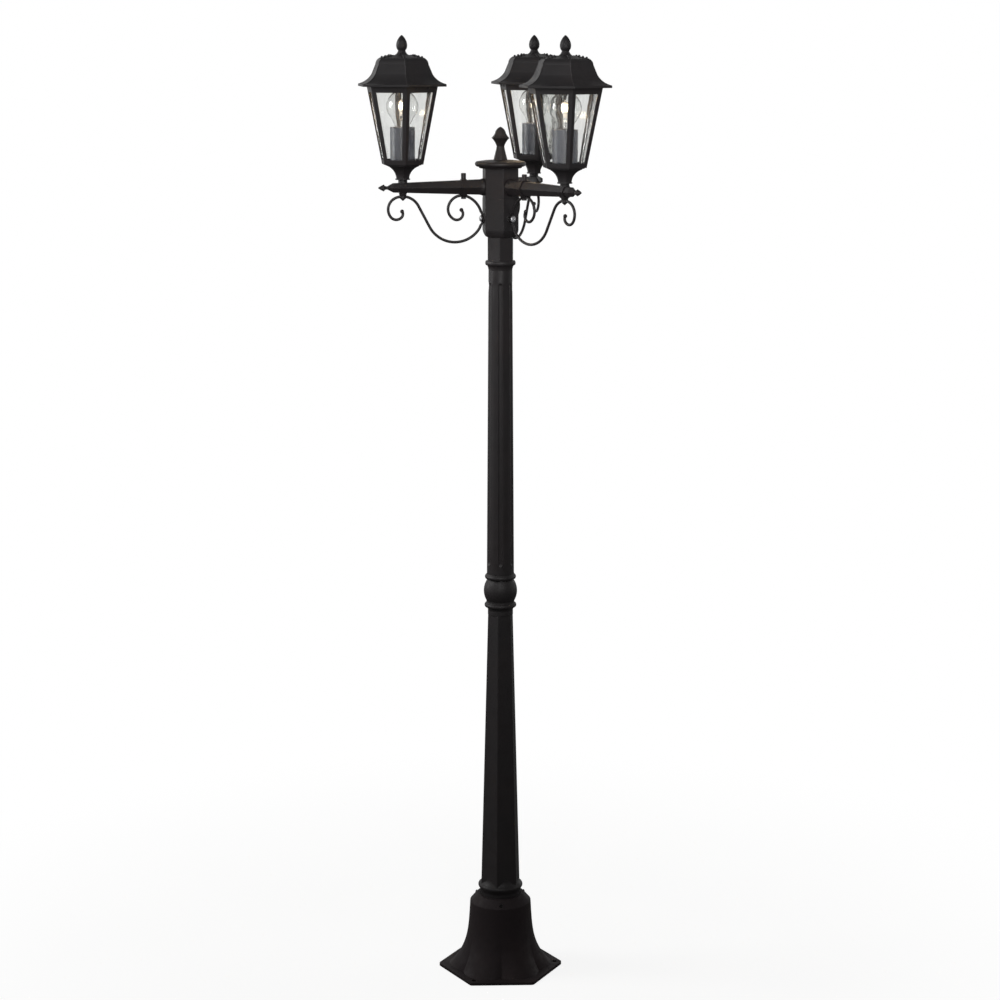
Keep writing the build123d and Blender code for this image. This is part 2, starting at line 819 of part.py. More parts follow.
def lantern_saddle():
    rod_z = rod_height(lantern_reach)
    shank_low = rod_z - saddle_below
    body = clip_body(lantern_reach, saddle_band_width, saddle_shank_radius, shank_low)
    point = Cone(finial_point, saddle_shank_radius, saddle_point - saddle_below)
    point = Pos(lantern_reach, 0, rod_z - (saddle_below + saddle_point) / 2) * point
    seat = Pos(lantern_reach, 0, 0) * column(
        funnel_neck_radius, saddle_top() - clip_band_thick - saddle_seat_rise, saddle_top()
    )
    body = body + point + seat - arm_core(lantern_reach, saddle_band_width)
    return body - Pos(lantern_reach, 0, arm_height) * column(arm_bore, 0, arm_root_height)


def scroll_screws():
    seat = scroll_start() + scroll_eye_thick / 2
    head = turned(
        outline(
            (0, seat),
            (screw_head_radius, seat),
            (screw_head_radius, seat + screw_head_edge),
            dome(screw_head_radius, seat + screw_head_edge, screw_head_height - screw_head_edge),
        )
    )
    screw = along_x(head + column(scroll_screw_radius, hub_cavity + seat_gap, seat), scroll_screw_z)
    return group(Rot(0, 0, angle) * screw for angle in arm_angles)


# ---------------------------------------------------------------- lanterns
def lantern_low():
    return saddle_top() + seat_gap


def cage_low():
    return lantern_low() + funnel_height


def cage_top():
    return cage_low() + cage_height


def cage_radius(height):
    share = (height - cage_low()) / cage_height
    return cage_low_radius + (cage_top_radius - cage_low_radius) * share


def cage_lean():
    return atan((to_flat(cage_top_radius) - to_flat(cage_low_radius)) / cage_height)


def lantern_funnel():
    low = lantern_low()
    ring_low = low + funnel_neck_height
    ring_top = ring_low + funnel_ring_height
    top = cage_low()
    sweep_radius, sweep_depth = funnel_sweep
    mouth_radius = cage_low_radius - 2 * funnel_mouth_step
    lip_radius = cage_low_radius - funnel_mouth_step
    neck = column(funnel_neck_radius, low, ring_low) + column(funnel_ring_radius, ring_low, ring_top)
    funnel = six_sided(
        outline(
            (0, ring_top),
            (to_flat(funnel_low_radius), ring_top),
            ((to_flat(sweep_radius), top - sweep_depth), (to_flat(mouth_radius), top - funnel_mouth_depth)),
            (to_flat(mouth_radius), top - funnel_lip_depth),
            (to_flat(lip_radius), top - funnel_lip_depth),
            (to_flat(lip_radius), top),
            (0, top),
        )
    )
    inside = to_flat(cage_radius(top)) - cage_wall - 2 * seat_gap
    floor = extrude(RegularPolygon(inside / cos(radians(30)), 6, rotation=30), base_floor)
    body = neck + funnel + Pos(0, 0, top) * floor
    return body - column(arm_bore, low - overcut, top + base_floor + overcut)


def face_panel(low, high, low_side, high_side, depth, thick):
    # a flat trapezoid on the cage's +X face: depth is measured inwards from the face,
    # and each side margin is measured from the cage's corner edge
    lean = cage_lean()
    face_plane = Plane(
        origin=(to_flat(cage_radius(low)), 0, low), x_dir=(0, 1, 0), z_dir=(cos(lean), 0, -sin(lean))
    )
    rise = (high - low) / cos(lean)
    low_half = cage_radius(low) / 2 - low_side
    high_half = cage_radius(high) / 2 - high_side
    trapezoid = Polyline((-low_half, 0), (low_half, 0), (high_half, rise), (-high_half, rise), close=True)
    return extrude(face_plane.offset(-depth - thick) * make_face(trapezoid), thick)


def lantern_cage():
    low = cage_low()
    high = cage_top()
    outer = six_sided(
        outline((0, low), (to_flat(cage_low_radius), low), (to_flat(cage_top_radius), high), (0, high))
    )
    inner = six_sided(
        outline(
            (0, low - overcut),
            (to_flat(cage_radius(low - overcut)) - cage_wall, low - overcut),
            (to_flat(cage_radius(high + overcut)) - cage_wall, high + overcut),
            (0, high + overcut),
        )
    )
    body = outer - inner
    window = face_panel(
        low + low_rail, high - top_rail, post_low_width, post_top_width, -overcut, 3 * cage_wall
    )
    for number in range(6):
        body -= Rot(0, 0, 60 * number) * window
    for hole in rail_screw_places(column(rail_screw_radius + screw_gap, -2 * cage_wall, cage_wall)):
        body -= hole
    return body


def rail_screw_places(item):
    # two screws side by side on the top rail of one face
    low = cage_top() - top_rail / 2
    lean = cage_lean()
    places = []
    for side in (-1, 1):
        seat = Plane(
            origin=(to_flat(cage_radius(low)), side * rail_screw_spacing / 2, low),
            x_dir=(0, 1, 0),
            z_dir=(cos(lean), 0, -sin(lean)),
        )
        places.append(Rot(0, 0, 120) * (seat.location * item))
    return places


def rail_screws():
    head_radius = rail_screw_radius * rail_screw_dome
    head = Sphere(head_radius) & column(head_radius, 0, head_radius)
    screw = head + column(rail_screw_radius, -cage_wall, 0)
    solids = []
    for angle in arm_angles:
        for placed in rail_screw_places(screw):
            solids.append(Rot(0, 0, angle) * Pos(lantern_reach, 0, 0) * placed)
    return group(solids)


def lantern_glass():
    low = cage_low() + low_rail - pane_overlap
    high = cage_top() - top_rail + pane_overlap
    pane = face_panel(low, high, pane_corner, pane_corner, cage_wall + seat_gap, pane_thick)
    return [Rot(0, 0, 60 * number) * pane for number in range(6)]


def roof_low():
    return cage_top() - roof_seat


def roof_outer():
    # half outline of the roof: eave, hollow sweep, straight side, rounded shoulder and low crown
    low = roof_low()
    top = low + roof_height
    points = above(low, roof_flare, roof_side_low, roof_side_top, roof_shoulder, roof_crown_edge, roof_crown)
    flare, side_low, side_top, shoulder, crown_edge, crown = flats(points)
    return outline(
        (0, low),
        (to_flat(roof_rim_radius), low),
        (to_flat(roof_rim_radius), low + roof_rim_thick),
        (flare, side_low),
        side_top,
        (shoulder, crown_edge),
        crown,
        (to_flat(roof_top_radius), top),
        (0, top),
    )


def roof_inner():
    # the hollow: a flat ceiling rests on the cage's top edge, and inside it the shell runs up to the crown
    low = roof_low()
    ceiling = cage_top() + seat_gap
    mouth = to_flat(cage_top_radius) - cage_wall - roof_lip_thick
    points = above(low, roof_side_low, roof_side_top, roof_shoulder, roof_crown_edge)
    inner = [(radius - roof_wall, height - roof_wall / 2) for radius, height in flats(points)]
    side_low, side_top, shoulder, crown_edge = inner
    roof_top = low + roof_height - 2 * roof_wall
    sweep = ((mouth + side_low[0]) / 2 - roof_wall / 2, (ceiling + side_low[1]) / 2 - roof_wall / 2)
    return outline(
        (0, low - overcut),
        (to_flat(roof_rim_radius) - 2 * roof_wall, low - overcut),
        (to_flat(roof_rim_radius) - 2 * roof_wall, low + roof_rim_thick - roof_wall),
        (to_flat(cage_top_radius) + overcut, ceiling),
        (mouth, ceiling),
        (sweep, side_low),
        side_top,
        (shoulder, (crown_edge[0], crown_edge[1] - roof_wall)),
        (to_flat(roof_top_radius) - roof_wall, roof_top),
        (0, roof_top),
    )


def roof_lip():
    outer = to_flat(cage_radius(cage_top() - roof_lip_height)) - cage_wall - roof_lip_play
    inner = outer - roof_lip_thick
    low = cage_top() - roof_lip_height
    high = cage_top() + seat_gap + overcut
    return six_sided(outline((inner, low), (outer, low), (outer, high), (inner, high)))


def lantern_roof():
    body = six_sided(roof_outer()) - six_sided(roof_inner()) + roof_lip()
    return body - column(finial_thread_radius + screw_gap, roof_low(), roof_low() + roof_height + overcut)


def roof_finial():
    low = roof_low() + roof_height
    high = low + roof_finial_height
    ankle, neck = above(low, roof_finial_ankle, roof_finial_neck)
    bud, wide, upper = above(low, bud_low, bud_wide, bud_high)
    body = turned(
        outline(
            (0, low),
            (roof_finial_foot, low),
            (ankle, neck),
            (bud, wide),
            (upper, (finial_point, high)),
            (0, high),
        )
    )
    return body + column(finial_thread_radius, low - roof_finial_thread, low)


# ---------------------------------------------------------------- lamps
def lamp_floor():
    return cage_low() + base_floor


def holder_top():
    return lamp_floor() + holder_height


def lamp_holder():
    low = lamp_floor()
    body = column(holder_radius, low, holder_top())
    body = chamfer(body.edges().group_by(Axis.Z)[-1], holder_edge)
    body -= column(lamp_cap_radius + lamp_cap_play, holder_top() - lamp_seat_depth, holder_top() + overcut)
    return body - column(arm_bore, low - overcut, holder_top())


def lamp_sleeve():
    low = lamp_floor()
    return column(sleeve_radius, low, low + sleeve_height) - column(
        sleeve_radius - sleeve_wall, low - overcut, low + sleeve_height + overcut
    )


def lamp_cap_low():
    return holder_top() - lamp_seat_depth + seat_gap


def lamp_cap():
    low = lamp_cap_low()
    taper_radius, taper_rise = lamp_cap_taper
    return turned(
        outline(
            (0, low),
            (lamp_cap_contact, low),
            (taper_radius, low + taper_rise),
            (lamp_cap_radius, low + lamp_cap_shell),
            (lamp_cap_radius, low + lamp_cap_height),
            (0, low + lamp_cap_height),
        )
    )


def bulb_outline(wall):
    low = lamp_cap_low() + lamp_cap_height
    top = low + bulb_height
    middle = top - bulb_radius
    radius = bulb_radius - wall
    joint_radius, joint_rise, _ = polar(radius, bulb_join_angle)
    neck_radius = bulb_neck_radius - wall
    neck_z = low + bulb_neck_height
    pull_in, pull_up = bulb_neck_hollow
    sweep = ((neck_radius + joint_radius) / 2 - pull_in, (neck_z + middle + joint_rise) / 2 + pull_up)
    mouth = low - (overcut if wall else 0)
    return outline(
        (0, mouth),
        (neck_radius, mouth),
        (neck_radius, neck_z),
        (sweep, (joint_radius, middle + joint_rise)),
        ((radius, middle), (0, middle + radius)),
    )


def bulb_glass():
    return turned(bulb_outline(0)) - turned(bulb_outline(bulb_wall))


def lamp_burner():
    base = lamp_cap_low() + lamp_cap_height
    low = base + burner_low
    capsule = column(burner_radius, low, low + burner_length - burner_radius)
    capsule += Pos(0, 0, low + burner_length - burner_radius) * Sphere(burner_radius)
    capsule += Pos(0, 0, low - pinch_drop) * Box(pinch_width, pinch_thick, pinch_height)
    for side in (-1, 1):
        capsule += Pos(side * lead_spacing / 2, 0, 0) * column(lead_radius, base, low)
    return capsule


nodes["base_casting"] = base_casting()
nodes["base_set_screws"] = base_set_screws()
nodes["lower_post"] = lower_post()
nodes["post_knuckle"] = post_knuckle()
nodes["upper_post"] = upper_post()
nodes["neck_casting"] = neck_casting()
nodes["hub_lower"] = hub_lower()
nodes["hub_upper"] = hub_upper()
nodes["hub_cap"] = hub_cap()
nodes["hub_finial"] = hub_finial()
nodes["terminal_block"] = terminal_block()
nodes["scroll_screws"] = scroll_screws()
nodes["rail_screws"] = rail_screws()
on_arms("arm", arm())
on_arms("arm_tip", arm_tip())
on_arms("scroll", scroll_rod())
on_arms("scroll_clip", scroll_clip())
on_arms("lantern_saddle", lantern_saddle())
on_lanterns("lantern_funnel", lantern_funnel())
on_lanterns("lantern_cage", lantern_cage())
on_lanterns("lantern_glass", group(lantern_glass()))
on_lanterns("lamp_holder", lamp_holder())
on_lanterns("lamp_sleeve", lamp_sleeve())
on_lanterns("lamp_cap", lamp_cap())
on_lanterns("bulb_glass", bulb_glass())
on_lanterns("lamp_burner", lamp_burner())
on_lanterns("lantern_roof", lantern_roof())
on_lanterns("roof_finial", roof_finial())

os.makedirs("parts", exist_ok=True)
for name, shape in nodes.items():
    export_step(shape, f"parts/{name}.step")
print(len(nodes), "nodes; height", round(nodes["roof_finial_1"].bounding_box().max.Z, 1), "mm")
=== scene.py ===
import bpy
import bmesh
from math import atan, atan2, cos, exp, hypot, pi, radians, sin, sqrt, tau
from mathutils import Matrix, Vector


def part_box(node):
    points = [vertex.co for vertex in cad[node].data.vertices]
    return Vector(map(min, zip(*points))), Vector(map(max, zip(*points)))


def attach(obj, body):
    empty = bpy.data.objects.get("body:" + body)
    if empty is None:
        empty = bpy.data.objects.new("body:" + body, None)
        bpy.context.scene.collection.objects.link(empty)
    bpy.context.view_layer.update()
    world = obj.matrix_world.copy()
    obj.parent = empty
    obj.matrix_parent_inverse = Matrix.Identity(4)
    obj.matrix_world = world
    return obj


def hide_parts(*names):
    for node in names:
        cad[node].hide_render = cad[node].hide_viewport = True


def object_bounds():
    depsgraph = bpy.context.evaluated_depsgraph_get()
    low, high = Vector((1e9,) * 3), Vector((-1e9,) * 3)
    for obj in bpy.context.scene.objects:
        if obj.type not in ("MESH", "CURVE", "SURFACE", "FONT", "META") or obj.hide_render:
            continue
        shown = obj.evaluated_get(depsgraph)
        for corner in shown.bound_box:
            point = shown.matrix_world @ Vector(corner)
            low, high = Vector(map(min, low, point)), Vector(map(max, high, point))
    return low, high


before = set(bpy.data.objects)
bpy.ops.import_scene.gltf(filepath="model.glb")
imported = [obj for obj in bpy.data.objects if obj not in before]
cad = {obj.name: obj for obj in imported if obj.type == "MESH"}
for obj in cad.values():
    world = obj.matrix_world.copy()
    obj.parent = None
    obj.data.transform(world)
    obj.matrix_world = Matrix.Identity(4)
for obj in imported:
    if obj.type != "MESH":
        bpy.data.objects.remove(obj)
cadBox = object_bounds()
armAngles = {"1": radians(180), "2": radians(300), "3": radians(60)}
flat = cos(radians(30))  # centre-to-flat share of a hexagon's corner radius
mm = 0.001
print("frame loaded:", len(cad), "nodes")


def feed(socket, value):
    # a socket takes a link, a node's first output or a fixed value
    if isinstance(value, bpy.types.Node):
        value = value.outputs[0]
    if isinstance(value, bpy.types.NodeSocket):
        socket.id_data.links.new(value, socket)
    else:
        socket.default_value = value


def addNode(near, kind, inputs=None, **settings):
    # adds a node to a tree, or to the tree of the node or socket that is given
    node = near.id_data.nodes.new(kind)
    for key, value in settings.items():
        setattr(node, key, value)
    for key, value in (inputs or {}).items():
        feed(node.inputs[key], value)
    return node


# material building blocks

noiseGrades = {  # detail and roughness of a noise
    "soft": (2.0, 0.5), "calm": (3.0, 0.5), "wavy": (3.0, 0.55),
    "even": (3.0, 0.6), "rich": (4.0, 0.6), "ragged": (5.0, 0.65),
}
softBand = (0.3, 0.7)  # where most of a noise lies
edgeBand = (0.02, 0.22)  # how far a rounded normal turns away where an edge begins and is full


def freshTree(owner):
    owner.use_nodes = True
    owner.node_tree.nodes.clear()
    return owner.node_tree


def startMaterial(name):
    material = bpy.data.materials.new(name)
    tree = freshTree(material)
    shader = addNode(tree, "ShaderNodeBsdfPrincipled")
    addNode(tree, "ShaderNodeOutputMaterial", {0: shader})
    return material, shader


def setShader(shader, values):
    for label, value in values.items():
        feed(shader.inputs[label], value)


def objectPlace(near, stretch=(1, 1, 1)):
    coords = addNode(near, "ShaderNodeTexCoord")
    return addNode(near, "ShaderNodeMapping", {"Vector": coords.outputs["Object"], "Scale": stretch})


def noiseOf(place, scale, grade="soft"):
    detail, roughness = noiseGrades[grade]
    inputs = {"Vector": place, "Scale": scale, "Detail": detail, "Roughness": roughness}
    return addNode(place, "ShaderNodeTexNoise", inputs)


def mathOf(operation, first, second=0.0, clamp=False):
    near = second if isinstance(first, float) else first
    return addNode(near, "ShaderNodeMath", {0: first, 1: second}, operation=operation, use_clamp=clamp)


def times(first, second):
    return mathOf("MULTIPLY", first, second)


def rangeOf(value, low, high, toLow=0.0, toHigh=1.0):
    inputs = {"Value": value, "From Min": low, "From Max": high, "To Min": toLow, "To Max": toHigh}
    return addNode(value, "ShaderNodeMapRange", inputs, interpolation_type="SMOOTHSTEP")


def mixOf(share, first, second):
    # the colour sockets of a Mix node are its inputs 6 and 7 and its output 2
    return addNode(share, "ShaderNodeMix", {0: share, 6: first, 7: second}, data_type="RGBA").outputs[2]


def bumpOf(shader, height, strength, distance, rounding=None):
    inputs = {"Height": height, "Strength": strength, "Distance": distance}
    if rounding:
        inputs["Normal"] = rounding
    feed(shader.inputs["Normal"], addNode(shader, "ShaderNodeBump", inputs))


def roughOf(noise, look):
    return rangeOf(noise, *softBand, look["roughLow"], look["roughHigh"])


def rubEdges(look, tone, wear=1.0):
    # the tone with brighter edges, and the normal that rounds them
    rounded = addNode(tone, "ShaderNodeBevel", {"Radius": look["edgeRadius"]}, samples=4)
    level = addNode(tone, "ShaderNodeNewGeometry").outputs["Normal"]
    along = addNode(tone, "ShaderNodeVectorMath", {0: rounded, 1: level}, operation="DOT_PRODUCT")
    edge = rangeOf(mathOf("SUBTRACT", 1.0, along.outputs["Value"]), *edgeBand)
    share = times(times(edge, wear), look["edgeShow"])
    return mixOf(share, tone, look["edgeTone"]), rounded


castCoat = {
    "tone": (0.0120, 0.0104, 0.0111, 1),
    "warmTone": (0.0150, 0.0117, 0.0123, 1),
    "driftScale": 9.0,
    "driftBand": (0.38, 0.66),
    "edgeTone": (0.036, 0.033, 0.033, 1),
    "edgeRadius": 0.0014,
    "edgeShow": 0.55,
    "leastWear": 0.35,
    "upwardBand": (0.35, 1.0),
    "dustTone": (0.034, 0.032, 0.030, 1),
    "dustScale": 38.0,
    "dustBand": (0.35, 0.75),
    "dustShow": 0.08,
    "dustRough": 0.2,
    "grainScale": 620.0,
    "grainShare": 0.5,
    "pebbleScale": 260.0,
    "pebbleBlend": 0.6,
    "pebbleShare": 0.7,
    "grainDepth": 0.00022,
    "grainStrength": 0.34,
    "roughScale": 55.0,
    "roughLow": 0.46,
    "roughHigh": 0.62,
    "specular": 0.30,
}
rodCoat = dict(
    castCoat, grainScale=900.0, pebbleScale=480.0, grainStrength=0.22, roughLow=0.40, roughHigh=0.55,
    edgeRadius=0.0008, dustShow=0.10,
)
baseCoat = dict(
    castCoat, tone=(0.0165, 0.0119, 0.0130, 1), warmTone=(0.0200, 0.0136, 0.0144, 1), dustShow=0.03,
    roughLow=0.58, roughHigh=0.72, specular=0.17,
)
roofCoat = dict(
    castCoat, tone=(0.0094, 0.0082, 0.0089, 1), warmTone=(0.0117, 0.0092, 0.0098, 1), dustShow=0.05,
    specular=0.27,
)
tubeCoat = dict(
    castCoat, grainScale=780.0, pebbleScale=380.0, grainStrength=0.26, roughLow=0.42, roughHigh=0.56,
)


def paintedMetal(name, look):
    # textured powder coat: two drifting tones, pebbled skin, rubbed edges, dust where it faces up
    material, shader = startMaterial(name)
    place = objectPlace(shader)
    drift = rangeOf(noiseOf(place, look["driftScale"], "rich"), *look["driftBand"])
    tone = mixOf(drift, look["tone"], look["warmTone"])
    inputs = {"Vector": place, "Scale": look["pebbleScale"], "Smoothness": look["pebbleBlend"]}
    pebbles = addNode(shader, "ShaderNodeTexVoronoi", inputs, feature="SMOOTH_F1").outputs["Distance"]
    grain = noiseOf(place, look["grainScale"], "even")
    wear = rangeOf(grain, *softBand, look["leastWear"], 1.0)
    tone, rounding = rubEdges(look, tone, wear)
    level = addNode(shader, "ShaderNodeNewGeometry").outputs["Normal"]
    upward = addNode(shader, "ShaderNodeSeparateXYZ", {0: level}).outputs["Z"]
    upward = rangeOf(upward, *look["upwardBand"])
    settled = rangeOf(noiseOf(place, look["dustScale"], "ragged"), *look["dustBand"])
    dust = times(times(upward, settled), look["dustShow"])
    rough = roughOf(noiseOf(place, look["roughScale"], "rich"), look)
    setShader(shader, {
        "Base Color": mixOf(dust, tone, look["dustTone"]),
        "Roughness": mathOf("ADD", rough, times(dust, look["dustRough"])),
        "Specular IOR Level": look["specular"],
    })
    pebbles = times(pebbles, look["pebbleShare"])
    height = mathOf("ADD", pebbles, times(grain, look["grainShare"]))
    bumpOf(shader, height, look["grainStrength"], look["grainDepth"], rounding)
    return material


# drawn sheet glass: upright waves and streaks, faint wiping marks
paneLook = {
    "tint": (0.885, 0.890, 0.880, 1),
    "streakTint": (0.835, 0.842, 0.832, 1),
    "streaks": (140.0, "even", 0.10),  # scale, grade and upright scale of the noise
    "streakBand": (0.42, 0.72),
    "smears": (45.0, "ragged", 1),
    "smearBand": (0.45, 0.8),
    "smearRough": 0.06,
    "waves": (95.0, "wavy", 0.10),
    "waveDepth": 0.0007,
    "waveStrength": 0.22,
    "ior": 1.46,
}
# the bulb's thin envelope and its stem
bulbLook = dict(
    paneLook, tint=(0.97, 0.97, 0.965, 1), streakTint=(0.955, 0.955, 0.95, 1), streaks=(42.0, "soft", 1),
    streakBand=softBand, smears=(42.0, "soft", 1), smearBand=(0.4, 0.8), smearRough=0.02,
    waves=(42.0, "soft", 1), waveDepth=0.0008, waveStrength=0.06,
)


def clearGlass(name, look):
    material, shader = startMaterial(name)

    def grown(kind):
        scale, grade, stretch = look[kind]
        return noiseOf(objectPlace(shader, (1, 1, stretch)), scale, grade)

    setShader(shader, {
        "Base Color": mixOf(rangeOf(grown("streaks"), *look["streakBand"]), look["tint"], look["streakTint"]),
        "Roughness": rangeOf(grown("smears"), *look["smearBand"], 0.0, look["smearRough"]),
        "Transmission Weight": 1.0,
        "IOR": look["ior"],
    })
    bumpOf(shader, grown("waves"), look["waveStrength"], look["waveDepth"])
    return material


glowLook = {
    "hot": (1.0, 0.86, 0.62, 1),
    "rim": (1.0, 0.58, 0.24, 1),
    "cool": (0.62, 0.60, 0.56, 1),
    "pale": (0.80, 0.78, 0.74, 1),
    "strength": 14.0,
    "falloff": 2.2,
    "flickerScale": 220.0,
    "flickerLow": 0.85,
    "hotBand": (0.15, 0.8),
    "roughEnds": (0.10, 0.30),  # at the cold ends, at the filament
}


def litQuartz(name, look):
    # quartz capsule: the filamentGlow attribute is 1 round the filament and 0 at the ends
    material, shader = startMaterial(name)
    heat = addNode(shader, "ShaderNodeAttribute", attribute_name="filamentGlow").outputs["Fac"]
    flicker = noiseOf(objectPlace(shader), look["flickerScale"])
    flicker = rangeOf(flicker, *softBand, look["flickerLow"], 1.0)
    power = times(flicker, look["strength"])
    setShader(shader, {
        "Emission Color": mixOf(rangeOf(heat, *look["hotBand"]), look["rim"], look["hot"]),
        "Emission Strength": times(mathOf("POWER", heat, look["falloff"]), power),
        "Base Color": mixOf(flicker, look["cool"], look["pale"]),
        "Roughness": rangeOf(heat, 0, 1, *look["roughEnds"]),
    })
    return material


# satin blue-grey tube with faint upright drawing lines
sleeveLook = {
    "tone": (0.032, 0.034, 0.043, 1),
    "patchTone": (0.041, 0.043, 0.053, 1),
    "patches": (30.0, "rich"),  # scale and grade of the noise
    "patchBand": (0.35, 0.7),
    "edgeTone": (0.14, 0.14, 0.15, 1),
    "edgeRadius": 0.0008,
    "edgeShow": 0.5,
    "lines": (420.0, "even"),
    "lineStretch": (1, 1, 0.03),
    "lineStrength": 0.10,
    "lineDepth": 0.0001,
    "roughLow": 0.32,
    "roughHigh": 0.46,
    "metal": 0.0,
}
# moulded plastics with a fine grain, not rubbed
holderLook = dict(
    sleeveLook, tone=(0.018, 0.016, 0.015, 1), patchTone=(0.028, 0.024, 0.022, 1), patches=(70.0, "rich"),
    edgeShow=0.0, lines=(1500.0, "soft"), lineStretch=(1, 1, 1), lineStrength=0.15, lineDepth=0.00008,
    roughLow=0.34, roughHigh=0.49,
)
terminalLook = dict(
    holderLook, tone=(0.62, 0.60, 0.54, 1), patchTone=(0.70, 0.68, 0.62, 1), roughLow=0.42, roughHigh=0.57,
)
# dull plating with stains and fine turning marks
capMetal = dict(
    sleeveLook, tone=(0.56, 0.54, 0.49, 1), patchTone=(0.40, 0.38, 0.34, 1), patches=(160.0, "ragged"),
    patchBand=(0.35, 0.75), edgeTone=(0.75, 0.74, 0.72, 1), edgeRadius=0.0005, edgeShow=0.4,
    lines=(1400.0, "soft"), lineStretch=(0.15, 0.15, 1), lineStrength=0.12, lineDepth=0.00006,
    roughLow=0.22, roughHigh=0.38, metal=1.0,
)
wireMetal = dict(
    capMetal, tone=(0.42, 0.40, 0.37, 1), patchTone=(0.28, 0.26, 0.24, 1), roughLow=0.25, roughHigh=0.40,
)
screwMetal = dict(
    capMetal, tone=(0.42, 0.42, 0.43, 1), patchTone=(0.30, 0.30, 0.31, 1), roughLow=0.26, roughHigh=0.40,
    metal=0.5,
)


def plainSkin(name, look):
    # two tones in patches, lines or grain in the skin, and brighter edges where they show
    material, shader = startMaterial(name)
    patch = noiseOf(objectPlace(shader), *look["patches"])
    lines = noiseOf(objectPlace(shader, look["lineStretch"]), *look["lines"])
    tone = mixOf(rangeOf(patch, *look["patchBand"]), look["tone"], look["patchTone"])
    rounding = None
    if look["edgeShow"]:
        tone, rounding = rubEdges(look, tone)
    setShader(shader, {"Base Color": tone, "Roughness": roughOf(patch, look), "Metallic": look["metal"]})
    bumpOf(shader, lines, look["lineStrength"], look["lineDepth"], rounding)
    return material


finish = {
    "cast": paintedMetal("castCoat", castCoat),
    "base": paintedMetal("baseCoat", baseCoat),
    "roof": paintedMetal("roofCoat", roofCoat),
    "rod": paintedMetal("rodCoat", rodCoat),
    "tube": paintedMetal("tubeCoat", tubeCoat),
    "pane": clearGlass("paneGlass", paneLook),
    "bulb": clearGlass("bulbGlass", bulbLook),
    "quartz": litQuartz("litQuartz", glowLook),
    "sleeve": plainSkin("sleeveSatin", sleeveLook),
    "holder": plainSkin("holderPhenolic", holderLook),
    "terminal": plainSkin("terminalNylon", terminalLook),
    "cap": plainSkin("lampCapNickel", capMetal),
    "wire": plainSkin("leadNickel", wireMetal),
    "screw": plainSkin("screwZinc", screwMetal),
}
nodeFinish = {  # nodes that aren't named here have the cast coat
    "scroll": "rod", "scroll_clip": "rod", "lantern_saddle": "rod", "base_set_screws": "rod",
    "upper_post": "tube", "base_casting": "base", "lantern_roof": "roof", "roof_finial": "roof",
    "lantern_glass": "pane", "bulb_glass": "bulb", "lamp_burner": "quartz", "lamp_sleeve": "sleeve",
    "lamp_holder": "holder", "lamp_cap": "cap", "terminal_block": "terminal",
    "scroll_screws": "screw", "rail_screws": "screw",
}
for nodeName, thing in cad.items():
    family = nodeName.rstrip("_123")
    for slot in thing.material_slots:
        slot.material = finish[nodeFinish.get(family, "cast")]
print("finishes on", len(cad), "nodes")


# places and mesh helpers

def lanternPlace(number, height=0.0):
    # on a lantern's axis
    low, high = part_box(f"lamp_sleeve_{number}")
    return Vector(((low.x + high.x) / 2, (low.y + high.y) / 2, height))


def around(middle, radius, angle, height):
    # the point at a radius and an angle round an upright axis
    return Vector((middle[0] + radius * cos(angle), middle[1] + radius * sin(angle), height))


def sideways(angle):
    # unit vectors out of a side and along it
    return Vector((cos(angle), sin(angle), 0)), Vector((-sin(angle), cos(angle), 0))


def arcThrough(start, middle, end, steps):
    # points of the arc through three (radius, height) pairs, without the first
    a, b, c = Vector(start), Vector(middle), Vector(end)
    twist = 2 * (a.x * (b.y - c.y) + b.x * (c.y - a.y) + c.x * (a.y - b.y))
    x = (a.dot(a) * (b.y - c.y) + b.dot(b) * (c.y - a.y) + c.dot(c) * (a.y - b.y)) / twist
    y = (a.dot(a) * (c.x - b.x) + b.dot(b) * (a.x - c.x) + c.dot(c) * (b.x - a.x)) / twist
    turns = [atan2(point.y - y, point.x - x) for point in (a, b, c)]
    whole = (turns[2] - turns[0]) % tau
    if (turns[1] - turns[0]) % tau > whole:
        whole -= tau
    radius = (a - Vector((x, y))).length
    angles = [turns[0] + whole * step / steps for step in range(1, steps + 1)]
    return [(x + radius * cos(angle), y + radius * sin(angle)) for angle in angles]


def profileOf(start, *steps, fine=10):
    # a step is a point, or a pair of points for an arc through the first to the second
    points = [start]
    for step in steps:
        if isinstance(step[0], tuple):
            points += arcThrough(points[-1], step[0], step[1], fine)
        else:
            points.append(step)
    return points


def addObject(name, data):
    thing = bpy.data.objects.new(name, data)
    bpy.context.scene.collection.objects.link(thing)
    return thing


def fromWork(name, work):
    # a new object out of a bmesh
    mesh = bpy.data.meshes.new(name)
    work.to_mesh(mesh)
    work.free()
    return addObject(name, mesh)


def meshObject(name, vertices, faces, edges=()):
    mesh = bpy.data.meshes.new(name)
    mesh.from_pydata([tuple(vertex) for vertex in vertices], list(edges), faces)
    return addObject(name, mesh)


def tidyMesh(thing, smooth=True):
    work = bmesh.new()
    work.from_mesh(thing.data)
    bmesh.ops.remove_doubles(work, verts=work.verts, dist=1e-6)
    bmesh.ops.recalc_face_normals(work, faces=work.faces)
    for face in work.faces:
        face.smooth = smooth
    work.to_mesh(thing.data)
    work.free()
    return thing


def roundTurn(sides):
    return [tau * side / sides for side in range(sides)]


